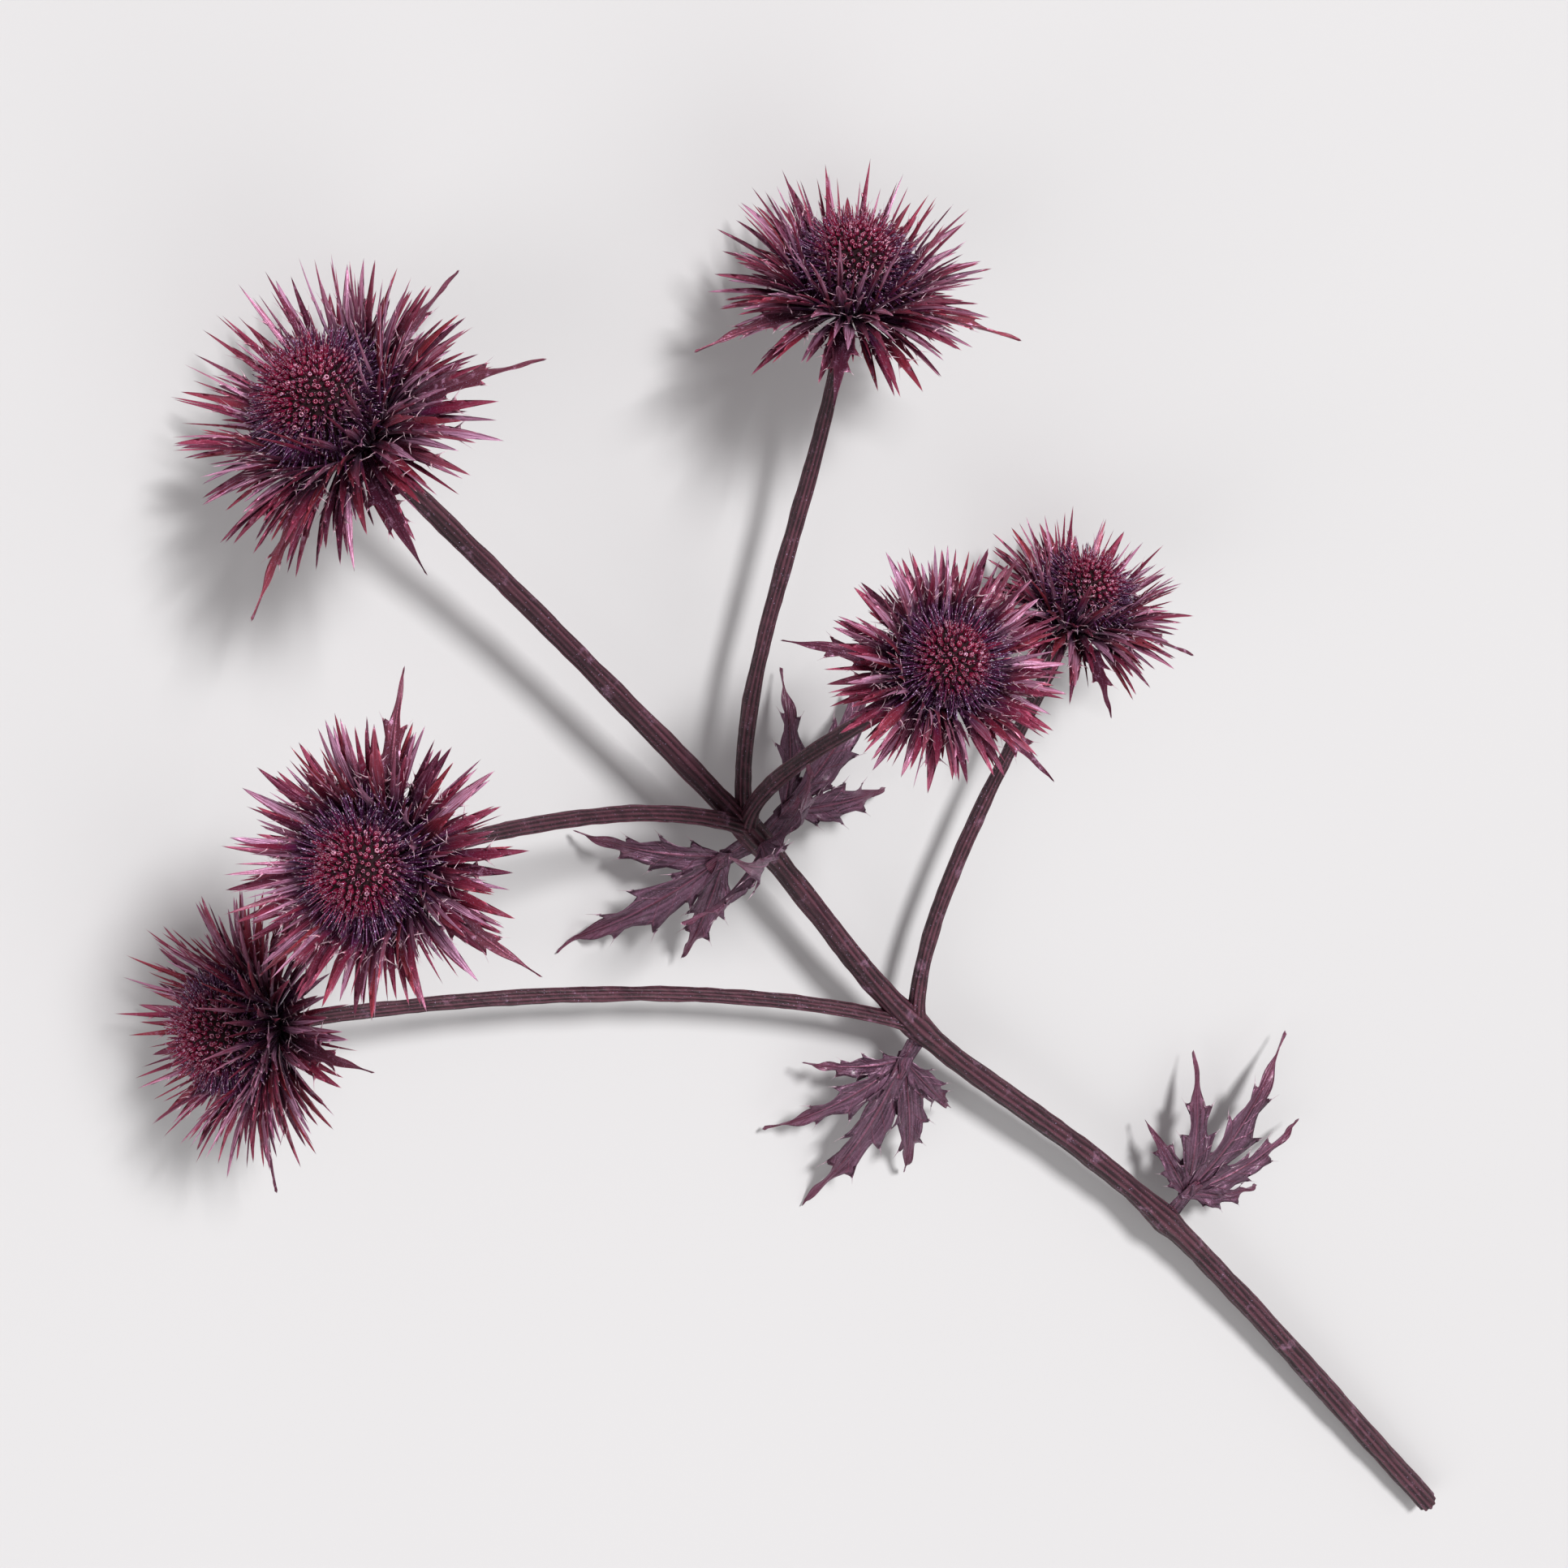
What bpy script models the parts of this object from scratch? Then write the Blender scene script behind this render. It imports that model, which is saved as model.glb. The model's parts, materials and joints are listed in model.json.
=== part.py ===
"""Sea holly stem, cut and laid down.

A ribbed stem with five side branches carries six flower heads. Each head is a dome of small florets in a
collar of narrow toothed bracts, with a few leafy bracts below. Divided, spiny leaves sit at the stem's nodes.

Metres, +Z up. The stem lies along Y with its heads towards +Y, and the surface that it lies on is z = 0.
"""

import math
import random
from collections import namedtuple

import bmesh
import bpy
from mathutils import Matrix, Vector

COLLECTION = "Sea holly stem"
GOLDEN_ANGLE = math.pi * (3 - math.sqrt(5))
UP = Vector((0, 0, 1))

# Clear space between pieces that touch.
GAP = 0.0003

# Points nearer than this are one point, and lengths are found by this many halvings.
WELD = 0.000001
HALVINGS = 30

# Flower heads. The centre is the middle of the cup's rim, and reach is from there to the bracts' tips.
# The leafy bracts' angles run round the head's axis, 90 being the upper side.
Head = namedtuple("Head", "name centre axis reach bracts florets spines leafy seed")
HEADS = (
    Head("head_top", (0.007, 0.237, 0.033), (0.02, 0.95, 0.30), 0.037, 71, 48, 18, (20, 150, 78, 205), 1),
    Head("head_left", (-0.102, 0.156, 0.030), (-0.60, 0.75, 0.26), 0.034, 65, 44, 16, (8, 172, 100), 2),
    Head("head_right", (0.102, 0.174, 0.0288), (0.65, 0.70, 0.26), 0.033, 65, 44, 16, (12, 160, 64), 3),
    Head("head_high_left", (-0.048, 0.192, 0.093), (-0.26, 0.62, 0.74), 0.032, 62, 42, 16, (200, 335, 80), 4),
    Head("head_high_right", (0.056, 0.126, 0.084), (0.32, 0.5, 0.8), 0.0285, 53, 36, 14, (215, 330, 120), 5),
    Head("head_low_right", (0.094, 0.074, 0.025), (0.74, 0.55, 0.30), 0.0285, 53, 36, 14, (20, 170, 85), 6),
)
CUP_SHARE = 0.325
CUP_DEPTH_SHARE = 0.85
CUP_SIDES = 9
CUP_RINGS = 2
SEAT_RADIUS = 0.0024

# The dome, by its own radius.
DOME_INSET = 0.0016
DOME_HEIGHT_SHARE = 1.32
DOME_BASE_POINTS = 14
DOME_BASE_SHARE = 0.92
DOME_LOWEST_FLORET = math.radians(86)
FLORET_PEAK = 0.0006
FLORET_VALLEY = 0.0005
SPINE_ZONE = math.radians(50)
SPINE_LENGTH = 0.0060
SPINE_RADIUS = 0.00052
SPINE_ROOT = 0.0022

# Bracts, from the innermost, at share 0, to the outermost, at share 1. Angles are from the head's axis.
SEAT_BELOW_RIM = (math.radians(13), math.radians(66))
FIRST_ANGLE = (math.radians(14), math.radians(100))
LAST_ANGLE = (math.radians(27), math.radians(119))
TURN_SPREAD = math.radians(3.5)
ANGLE_SPREAD = math.radians(6)
FULL_SPREAD_FROM = 0.25
TWIST_SPREAD = math.radians(16)
INNER_LENGTH_SHARE = 0.92
FULL_LENGTH_FROM = 0.42
LENGTH_SPREAD = 0.08
ROOT_DEPTH = 0.0040
ROOT_INWARD = 0.5
NEEDLES_UP_TO = 0.34
ONE_PAIR_UP_TO = 0.74
NEEDLE_RADIUS = 0.00072
NEEDLE_WIDEST = 0.36
BRACT_HALF_WIDTH = 0.00125
BRACT_THICKNESS = 0.00095
BRACT_TOOTH = (0.0012, 0.14)
LEAFY_ANGLES = (math.radians(84), math.radians(106))
LEAFY_LENGTH_SHARE = 1.02
LEAFY_HALF_WIDTH = 0.0024
LEAFY_THICKNESS = 0.0011
LEAFY_TOOTH = (0.0019, 0.10)

# A blade's thickness falls by this share towards its tip.
THINNING = 0.3

# Stations along a blade: share of its length, share of its half width, and whether a pair of teeth begins
# there.
# A tooth is how far it stands out, and the share of the blade's length that it is swept forward by.
ONE_PAIR = ((0.32, 0.72, True), (0.415, 0.95, False))
TWO_PAIRS = ((0.24, 0.70, True), (0.335, 1.0, False), (0.52, 0.55, True), (0.605, 0.75, False))
THREE_PAIRS = (
    (0.20, 0.80, True),
    (0.28, 1.0, False),
    (0.40, 0.80, True),
    (0.48, 0.95, False),
    (0.60, 0.50, True),
    (0.675, 0.65, False),
)

# The stem. Points are (place, radius) along its middle. A branch begins inside the stem that bears it, and
# its pulls are shares of the straight way to its head.
STEM_RIBS = 6
BRANCH_RIBS = 4
RIB_DEPTH_SHARE = 0.14
STEM_SPACING = 0.022
SWELLING = 0.28
SWELLING_REACH = 0.009
CUT_END = ((-0.005, -0.258, 0.0034), 0.0034)
LOW_NODE = ((0.003, -0.094, 0.0090), 0.0032)
MIDDLE_NODE = ((-0.004, 0.014, 0.0130), 0.0030)
FORK = ((0.003, 0.092, 0.0180), 0.0028)
TOP_RADIUS = 0.0021
BRANCH_RADIUS = (0.0021, 0.0017)
BRANCH_START_PULL = 0.9
BRANCH_END_PULL = 1.1
BRANCH_FORWARD = 0.6

# Leaves: the node that bears them and how far below it they sit, the way that they point (level angle from
# +X, and tilt above the level), and their lobes as (angle, length, half width).
LEAF_THICKNESS = 0.0013
LEAF_TOOTH = (0.0026, 0.10)
LEAF_FIRST_RISE = math.radians(12)
LEAF_DROOP = math.radians(30)
LEAF_FOOT = 0.0005
LEAF_HEART = 0.0045
Leaf = namedtuple("Leaf", "name node below heading tilt lobes")
THREE_LOBES = ((-40, 0.036, 0.0036), (3, 0.050, 0.0045), (43, 0.034, 0.0035))
FIVE_LOBES = (
    (-64, 0.026, 0.0030),
    (-33, 0.040, 0.0038),
    (2, 0.052, 0.0046),
    (36, 0.042, 0.0038),
    (66, 0.027, 0.0030),
)
LEAVES = (
    Leaf("leaf_low", LOW_NODE, 0.000, 10, 4, FIVE_LOBES),
    Leaf("leaf_middle", MIDDLE_NODE, 0.002, 200, -6, FIVE_LOBES),
    Leaf("leaf_fork_left", FORK, 0.004, 170, -16, THREE_LOBES),
    Leaf("leaf_fork_right", FORK, 0.005, -6, -18, THREE_LOBES),
    Leaf("leaf_fork_top", FORK, 0.006, 96, 62, THREE_LOBES),
)

COLOURS = {
    "florets": ((0.16, 0.012, 0.055, 1.0), 0.45, 0.25),
    "bracts": ((0.23, 0.075, 0.155, 1.0), 0.38, 0.45),
    "leaves": ((0.11, 0.040, 0.062, 1.0), 0.48, 0.30),
    "stem": ((0.050, 0.016, 0.028, 1.0), 0.52, 0.20),
}


def between(ends, share):
    """The value at a share of the way from the first end to the last."""
    return ends[0] + (ends[1] - ends[0]) * share


def clear_scene():
    for obj in list(bpy.data.objects):
        bpy.data.objects.remove(obj, do_unlink=True)


def new_collection(name):
    collection = bpy.data.collections.new(name)
    bpy.context.scene.collection.children.link(collection)
    return collection


def make_material(name):
    colour, roughness, metallic = COLOURS[name]
    material = bpy.data.materials.new(name)
    material.use_nodes = True
    shader = material.node_tree.nodes["Principled BSDF"]
    shader.inputs["Base Color"].default_value = colour
    shader.inputs["Roughness"].default_value = roughness
    shader.inputs["Metallic"].default_value = metallic
    return material


def frame_at(place, axis):
    """A frame with its Z along the axis, its X level and its Y on the upper side."""
    along = Vector(axis).normalized()
    level = UP.cross(along).normalized()
    upper = along.cross(level)
    return Matrix.Translation(Vector(place)) @ Matrix((level, upper, along)).transposed().to_4x4()


def new_object(name, mesh, frame, collection):
    """An object from a bmesh, which is freed, or from a mesh."""
    if isinstance(mesh, bmesh.types.BMesh):
        data = bpy.data.meshes.new(name)
        mesh.to_mesh(data)
        mesh.free()
    else:
        data = mesh
    obj = bpy.data.objects.new(name, data)
    obj.matrix_world = frame
    collection.objects.link(obj)
    return obj


def applied(obj):
    """The object's mesh with its modifiers applied."""
    graph = bpy.context.evaluated_depsgraph_get()
    return bpy.data.meshes.new_from_object(obj.evaluated_get(graph))


def fuse(core, pieces):
    """Joins the pieces to the core by one Boolean union, and removes them."""
    join = core.modifiers.new("Join", "BOOLEAN")
    join.operation = "UNION"
    join.operand_type = "COLLECTION"
    join.collection = pieces
    bpy.context.view_layer.update()
    mesh = applied(core)
    core.modifiers.clear()
    core.data = mesh
    for piece in list(pieces.objects):
        bpy.data.objects.remove(piece, do_unlink=True)
    bpy.data.collections.remove(pieces)


def finish(obj, material):
    obj.data.materials.clear()
    obj.data.materials.append(material)
    obj.data.shade_flat()


def arc_at(start, first, last, length, share):
    """The place and the direction at a share of an arc that turns evenly from first to last."""
    turn = first.angle(last)
    across = (last - first * first.dot(last)).normalized()
    angle = turn * share
    place = start + (first * math.sin(angle) + across * (1 - math.cos(angle))) * (length / turn)
    return place, first * math.cos(angle) + across * math.sin(angle)


def skin(root, rings, tip):
    """A closed skin from a root point over rings of points to a tip, with its seams alike on both faces."""
    mesh = bmesh.new()
    rows = [[mesh.verts.new(point) for point in ring] for ring in rings]
    count = len(rows[0])
    for row, point in ((rows[0], mesh.verts.new(root)), (rows[-1], mesh.verts.new(tip))):
        for i in range(count):
            mesh.faces.new((row[i], row[(i + 1) % count], point))
    for low, high in zip(rows, rows[1:]):
        for i in range(count):
            j = (i + 1) % count
            if i % 2:
                mesh.faces.new((low[i], low[j], high[i]))
                mesh.faces.new((low[j], high[j], high[i]))
            else:
                mesh.faces.new((low[i], low[j], high[j]))
                mesh.faces.new((low[i], high[j], high[i]))
    bmesh.ops.recalc_face_normals(mesh, faces=mesh.faces)
    return mesh


def above_floor(ring, frame):
    """The ring's points, lifted together so that none lies below the surface."""
    world = [frame @ point for point in ring]
    lift = max(0.0, -min(point.z for point in world))
    back = frame.inverted()
    return [back @ (point + UP * lift) for point in world]


# A blade leaves its seat in one direction and bends evenly to another. Its root lies inside what bears it.
Blade = namedtuple("Blade", "seat root first last side length")


def blade_at(blade, share):
    """The place, direction and upper face of a blade at a share of its length."""
    place, along = arc_at(blade.seat, blade.first, blade.last, blade.length, share)
    side = (blade.side - along * along.dot(blade.side)).normalized()
    return place, along, side, along.cross(side)


def blade_skin(blade, stations, half_width, thickness, tooth, frame):
    """A keeled blade of diamond section, with pairs of teeth swept towards its tip."""
    rings = []
    for share, width_share, toothed in stations:
        place, along, side, face = blade_at(blade, share)
        half = half_width * width_share + (tooth[0] if toothed else 0)
        sweep = along * (tooth[1] * blade.length if toothed else 0)
        thick = face * (thickness / 2 * (1 - THINNING * share))
        ring = (place + thick, place + side * half + sweep, place - thick, place - side * half + sweep)
        rings.append(above_floor(ring, frame))
    tip = above_floor([blade_at(blade, 1)[0]], frame)[0]
    return skin(blade.root, rings, tip)


def needle_skin(blade, radius, frame):
    """A three-sided needle, widest near its foot."""
    place, _, side, face = blade_at(blade, NEEDLE_WIDEST)
    ring = []
    for i in range(3):
        angle = math.radians(90 + 120 * i)
        ring.append(place + (side * math.cos(angle) + face * math.sin(angle)) * radius)
    tip = above_floor([blade_at(blade, 1)[0]], frame)[0]
    return skin(blade.root, [above_floor(ring, frame)], tip)


def cup_radius(head):
    return head.reach * CUP_SHARE


def cup_depth(head):
    return cup_radius(head) * CUP_DEPTH_SHARE


def to_floor(blade, frame):
    """The blade, or one cut shorter so that its tip just meets the surface."""
    def height(length):
        return (frame @ arc_at(blade.seat, blade.first, blade.last, length, 1)[0]).z

    if height(blade.length) >= 0:
        return blade
    short, long = 0.0, blade.length
    for _ in range(HALVINGS):
        middle = (short + long) / 2
        if height(middle) > 0:
            short = middle
        else:
            long = middle
    return blade._replace(length=short)


def radial_blade(head, turn, below, first_angle, last_angle, length, twist):
    """A blade that leaves the cup at a turn round its axis and some way below its rim."""
    out = Vector((math.cos(turn), math.sin(turn), 0))
    axis = Vector((0, 0, 1))
    seat = out * cup_radius(head) * math.cos(below) - axis * cup_depth(head) * math.sin(below)
    first = out * math.sin(first_angle) + axis * math.cos(first_angle)
    last = out * math.sin(last_angle) + axis * math.cos(last_angle)
    square = out * math.cos(below) - axis * math.sin(below)
    root = seat - (first + square * ROOT_INWARD).normalized() * ROOT_DEPTH
    side = Matrix.Rotation(twist, 3, first) @ axis.cross(out)
    frame = frame_at(head.centre, head.axis)
    return to_floor(Blade(seat, root, first, last, side, length), frame)


def bract_blade(head, number):
    """The bract with that number, 0 being the nearest to the dome, and its share of the way outwards."""
    draw = random.Random(head.seed * 1000 + number)
    share = (number + 0.5) / head.bracts
    turn = number * GOLDEN_ANGLE + draw.uniform(-TURN_SPREAD, TURN_SPREAD)
    lean = draw.uniform(-ANGLE_SPREAD, ANGLE_SPREAD)
    full = head.reach - cup_radius(head)
    length = full * between((INNER_LENGTH_SHARE, 1), min(1, share / FULL_LENGTH_FROM))
    length *= 1 + draw.uniform(-LENGTH_SPREAD, LENGTH_SPREAD)
    first_angle = between(FIRST_ANGLE, share) + lean * min(1, share / FULL_SPREAD_FROM)
    last_angle = between(LAST_ANGLE, share) + lean
    twist = draw.uniform(-TWIST_SPREAD, TWIST_SPREAD)
    below = between(SEAT_BELOW_RIM, share)
    return radial_blade(head, turn, below, first_angle, last_angle, length, twist), share


def make_cup(head, frame, collection):
    """The receptacle: a turned cup, flat on top under the florets and flat below on the stem's seat."""
    mesh = bmesh.new()
    points = [Vector((0, 0, 0))]
    lowest = math.acos(SEAT_RADIUS / cup_radius(head))
    for i in range(CUP_RINGS + 1):
        angle = lowest * i / CUP_RINGS
        points.append(Vector((cup_radius(head) * math.cos(angle), 0, -cup_depth(head) * math.sin(angle))))
    points.append(Vector((0, 0, points[-1].z)))
    verts = [mesh.verts.new(point) for point in points]
    for low, high in zip(verts, verts[1:]):
        mesh.edges.new((low, high))
    cup = new_object(head.name + "_bracts", mesh, frame, collection)
    turn = cup.modifiers.new("Turn", "SCREW")
    turn.steps = turn.render_steps = CUP_SIDES
    turn.use_merge_vertices = True
    turn.merge_threshold = WELD
    mesh = applied(cup)
    cup.modifiers.clear()
    cup.data = mesh
    return cup


def make_bracts(head, collection):
    frame = frame_at(head.centre, head.axis)
    cup = make_cup(head, frame, collection)
    pieces = new_collection("Pieces")
    for number in range(head.bracts):
        blade, share = bract_blade(head, number)
        if share < NEEDLES_UP_TO:
            mesh = needle_skin(blade, NEEDLE_RADIUS, frame)
        else:
            stations = ONE_PAIR if share < ONE_PAIR_UP_TO else TWO_PAIRS
            mesh = blade_skin(blade, stations, BRACT_HALF_WIDTH, BRACT_THICKNESS, BRACT_TOOTH, frame)
        new_object("bract", mesh, frame, pieces)
    for angle in head.leafy:
        length = head.reach * LEAFY_LENGTH_SHARE
        below = SEAT_BELOW_RIM[1]
        blade = radial_blade(head, math.radians(angle), below, *LEAFY_ANGLES, length, 0)
        mesh = blade_skin(blade, THREE_PAIRS, LEAFY_HALF_WIDTH, LEAFY_THICKNESS, LEAFY_TOOTH, frame)
        new_object("leafy bract", mesh, frame, pieces)
    fuse(cup, pieces)
    return cup


def dome_point(head, angle, turn, outwards=0.0):
    """A point on the dome at an angle from its axis, moved outwards square to its skin."""
    radius = cup_radius(head) - DOME_INSET
    height = radius * DOME_HEIGHT_SHARE
    out = Vector((math.cos(turn), math.sin(turn), 0))
    place = out * radius * math.sin(angle) + Vector((0, 0, GAP + height * math.cos(angle)))
    square = (out * math.sin(angle) / radius + Vector((0, 0, math.cos(angle) / height))).normalized()
    return place + square * outwards, square


def make_dome(head, collection):
    """Florets as a spiral of low peaks, each in a cell with a valley round it, and spines between them."""
    frame = frame_at(head.centre, head.axis)
    mesh = bmesh.new()
    for i in range(head.florets):
        share = (i + 0.5) / head.florets
        angle = math.acos(1 - share * (1 - math.cos(DOME_LOWEST_FLORET)))
        mesh.verts.new(dome_point(head, angle, i * GOLDEN_ANGLE, FLORET_PEAK)[0])
    base_radius = (cup_radius(head) - DOME_INSET) * DOME_BASE_SHARE
    for i in range(DOME_BASE_POINTS):
        turn = 2 * math.pi * i / DOME_BASE_POINTS
        mesh.verts.new((base_radius * math.cos(turn), base_radius * math.sin(turn), GAP))
    bmesh.ops.convex_hull(mesh, input=mesh.verts)
    bmesh.ops.recalc_face_normals(mesh, faces=mesh.faces)
    cells = [face for face in mesh.faces if face.calc_center_median().z > 2 * GAP]
    inner = [edge for edge in mesh.edges if all(face in cells for face in edge.link_faces)]
    bmesh.ops.poke(mesh, faces=cells, offset=-FLORET_VALLEY, center_mode="MEAN")
    bmesh.ops.rotate_edges(mesh, edges=inner, use_ccw=False)
    dome = new_object(head.name + "_dome", mesh, frame, collection)
    pieces = new_collection("Pieces")
    for i in range(head.spines):
        share = (i + 0.5) / head.spines
        angle = math.acos(1 - share * (1 - math.cos(SPINE_ZONE)))
        turn = (i + 0.5) * GOLDEN_ANGLE
        foot, square = dome_point(head, angle, turn, -SPINE_ROOT)
        spine = bmesh.new()
        bmesh.ops.create_cone(
            spine,
            cap_ends=True,
            segments=3,
            radius1=SPINE_RADIUS,
            radius2=0,
            depth=SPINE_ROOT + SPINE_LENGTH,
        )
        middle = foot + square * (SPINE_ROOT + SPINE_LENGTH) / 2
        spine.transform(Matrix.Translation(middle) @ square.to_track_quat("Z", "Y").to_matrix().to_4x4())
        new_object("spine", spine, frame, pieces)
    fuse(dome, pieces)
    return dome


def rib_profile(ribs, collection):
    """A stem's ribbed section, one unit in radius, as a closed outline."""
    curve = bpy.data.curves.new("Rib profile", "CURVE")
    curve.dimensions = "2D"
    spline = curve.splines.new("POLY")
    spline.points.add(2 * ribs - 1)
    for i, point in enumerate(spline.points):
        radius = 1 if i % 2 else 1 - RIB_DEPTH_SHARE
        angle = math.pi * i / ribs
        point.co = (radius * math.cos(angle), radius * math.sin(angle), 0, 1)
    spline.use_cyclic_u = True
    profile = bpy.data.objects.new("Rib profile", curve)
    profile.hide_render = True
    collection.objects.link(profile)
    return profile


def hermite(start, start_pull, end, end_pull, share):
    """A point of the smooth curve that leaves start along its pull and reaches end along the other."""
    s = share
    return (
        start * (2 * s**3 - 3 * s**2 + 1)
        + start_pull * (s**3 - 2 * s**2 + s)
        + end * (3 * s**2 - 2 * s**3)
        + end_pull * (s**3 - s**2)
    )


def ribbed_tube(name, points, radii, profile, collection):
    """A tube of the ribbed section along the points, as a closed mesh."""
    curve = bpy.data.curves.new(name, "CURVE")
    curve.dimensions = "3D"
    curve.bevel_mode = "OBJECT"
    curve.bevel_object = profile
    curve.use_fill_caps = True
    spline = curve.splines.new("POLY")
    spline.points.add(len(points) - 1)
    for target, point, radius in zip(spline.points, points, radii):
        target.co = (*point, 1)
        target.radius = radius
    guide = bpy.data.objects.new(name, curve)
    collection.objects.link(guide)
    bpy.context.view_layer.update()
    welded = bmesh.new()
    welded.from_mesh(applied(guide))
    bmesh.ops.remove_doubles(welded, verts=welded.verts, dist=WELD)
    bmesh.ops.recalc_face_normals(welded, faces=welded.faces)
    bpy.data.objects.remove(guide, do_unlink=True)
    return new_object(name, welded, Matrix.Identity(4), collection)


def stem_seat(head):
    """Where the stem ends, a gap below the head's cup."""
    return Vector(head.centre) - Vector(head.axis).normalized() * (cup_depth(head) + GAP)


def run(start, start_pull, end, end_pull, radii, swollen=()):
    """Points and radii of a smooth stretch of stem, which may be swollen at either end, 0 or 1."""
    length = (end - start).length
    count = max(3, round(length / STEM_SPACING))
    shares = {i / count for i in range(count + 1)}
    for node in swollen:
        shares |= {node - SWELLING_REACH / length, node + SWELLING_REACH / length}
    shares = sorted(share for share in shares if 0 <= share <= 1)
    points = [hermite(start, start_pull, end, end_pull, share) for share in shares]
    thick = [between(radii, share) * (1 + SWELLING * (share in swollen)) for share in shares]
    return points, thick


def make_stem(collection):
    pieces = new_collection("Pieces")
    profile = rib_profile(STEM_RIBS, pieces)
    branch_profile = rib_profile(BRANCH_RIBS, pieces)
    heads = {head.name: head for head in HEADS}
    nodes = (CUT_END, LOW_NODE, MIDDLE_NODE, FORK)
    places = [Vector(point) for point, _ in nodes]
    radii = [radius for _, radius in nodes]
    top = heads["head_top"]
    places.append(stem_seat(top))
    radii.append(TOP_RADIUS)
    pulls = [(b - a) / 2 for a, b in zip([places[0]] + places, places[1:] + [places[-1]])]
    pulls[0] = places[1] - places[0]
    pulls[-1] = Vector(top.axis).normalized() * (places[-1] - places[-2]).length
    points, thick = [places[0]], [radii[0]]
    last = len(places) - 1
    for i in range(last):
        swollen = [end for end in (0, 1) if 0 < i + end < last]
        more, widths = run(places[i], pulls[i], places[i + 1], pulls[i + 1], radii[i : i + 2], swollen)
        points += more[1:]
        thick += widths[1:]
    stem = ribbed_tube("stem", points, thick, profile, collection)
    for name, start in (
        ("head_left", places[2]),
        ("head_low_right", places[2]),
        ("head_right", places[3]),
        ("head_high_left", places[3]),
        ("head_high_right", places[3]),
    ):
        head = heads[name]
        end = stem_seat(head)
        length = (end - start).length
        out = (end - start).normalized() + Vector((0, BRANCH_FORWARD, 0))
        start_pull = out.normalized() * length * BRANCH_START_PULL
        end_pull = Vector(head.axis).normalized() * length * BRANCH_END_PULL
        points, thick = run(start, start_pull, end, end_pull, BRANCH_RADIUS)
        ribbed_tube(name + " branch", points, thick, branch_profile, pieces)
    bpy.data.objects.remove(profile, do_unlink=True)
    bpy.data.objects.remove(branch_profile, do_unlink=True)
    fuse(stem, pieces)
    return stem


def make_leaf(leaf, collection):
    """A sessile leaf, cut to its base into toothed lobes that spread over the surface."""
    heading = math.radians(leaf.heading)
    tilt = math.radians(leaf.tilt)
    out = Vector((math.cos(heading) * math.cos(tilt), math.sin(heading) * math.cos(tilt), math.sin(tilt)))
    side = UP.cross(out).normalized()
    face = out.cross(side)
    turned = Matrix((out, side, face)).transposed().to_4x4()
    place, radius = leaf.node
    foot = radius * (1 + SWELLING) + LEAF_FOOT
    frame = Matrix.Translation(Vector(place) - Vector((0, leaf.below, 0)) + out * foot) @ turned
    pieces = new_collection("Pieces")
    core = None
    for angle, length, half_width in leaf.lobes:
        turn = math.radians(angle)
        level = Vector((math.cos(turn), math.sin(turn), 0))
        across = Vector((-math.sin(turn), math.cos(turn), 0))
        first = level * math.cos(LEAF_FIRST_RISE) + UP * math.sin(LEAF_FIRST_RISE)
        last = level * math.cos(LEAF_DROOP) - UP * math.sin(LEAF_DROOP)
        heart = Vector((LEAF_HEART, 0, 0))
        root = heart - first * LEAF_HEART if core is None else heart
        blade = Blade(heart, root, first, last, across, length)
        mesh = blade_skin(blade, THREE_PAIRS, half_width, LEAF_THICKNESS, LEAF_TOOTH, frame)
        lobe = new_object(leaf.name, mesh, frame, collection if core is None else pieces)
        core = core or lobe
    fuse(core, pieces)
    return core


def main():
    clear_scene()
    collection = new_collection(COLLECTION)
    materials = {name: make_material(name) for name in COLOURS}
    finish(make_stem(collection), materials["stem"])
    for leaf in LEAVES:
        finish(make_leaf(leaf, collection), materials["leaves"])
    for head in HEADS:
        finish(make_bracts(head, collection), materials["bracts"])
        finish(make_dome(head, collection), materials["florets"])


main()
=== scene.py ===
"""Sea holly stem, dressed: toothed bracts, florets, spines, a ribbed stem and veined leaves."""

import json
import math
import random
from collections import namedtuple

import bmesh
import bpy
from mathutils import Matrix, Vector

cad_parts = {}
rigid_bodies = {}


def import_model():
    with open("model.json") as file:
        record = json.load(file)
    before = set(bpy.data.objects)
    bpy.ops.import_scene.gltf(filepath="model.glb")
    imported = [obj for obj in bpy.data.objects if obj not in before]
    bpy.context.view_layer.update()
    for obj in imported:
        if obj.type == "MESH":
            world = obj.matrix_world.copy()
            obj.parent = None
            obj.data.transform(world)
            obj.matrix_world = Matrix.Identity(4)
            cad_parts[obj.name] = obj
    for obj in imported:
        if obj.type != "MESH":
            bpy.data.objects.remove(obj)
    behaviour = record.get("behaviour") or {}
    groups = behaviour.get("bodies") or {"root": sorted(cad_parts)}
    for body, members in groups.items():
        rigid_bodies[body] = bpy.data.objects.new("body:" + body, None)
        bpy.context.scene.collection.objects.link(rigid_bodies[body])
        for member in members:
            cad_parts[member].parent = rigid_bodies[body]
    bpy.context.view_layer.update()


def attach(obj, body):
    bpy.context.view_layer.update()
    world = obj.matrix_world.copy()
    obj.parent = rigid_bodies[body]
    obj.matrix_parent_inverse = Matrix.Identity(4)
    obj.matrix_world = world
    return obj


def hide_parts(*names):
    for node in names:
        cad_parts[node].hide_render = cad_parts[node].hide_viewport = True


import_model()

BODY = "root"
GOLDEN_ANGLE = math.pi * (3 - math.sqrt(5))
FULL_TURN = 2 * math.pi
UP = Vector((0, 0, 1))

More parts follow.
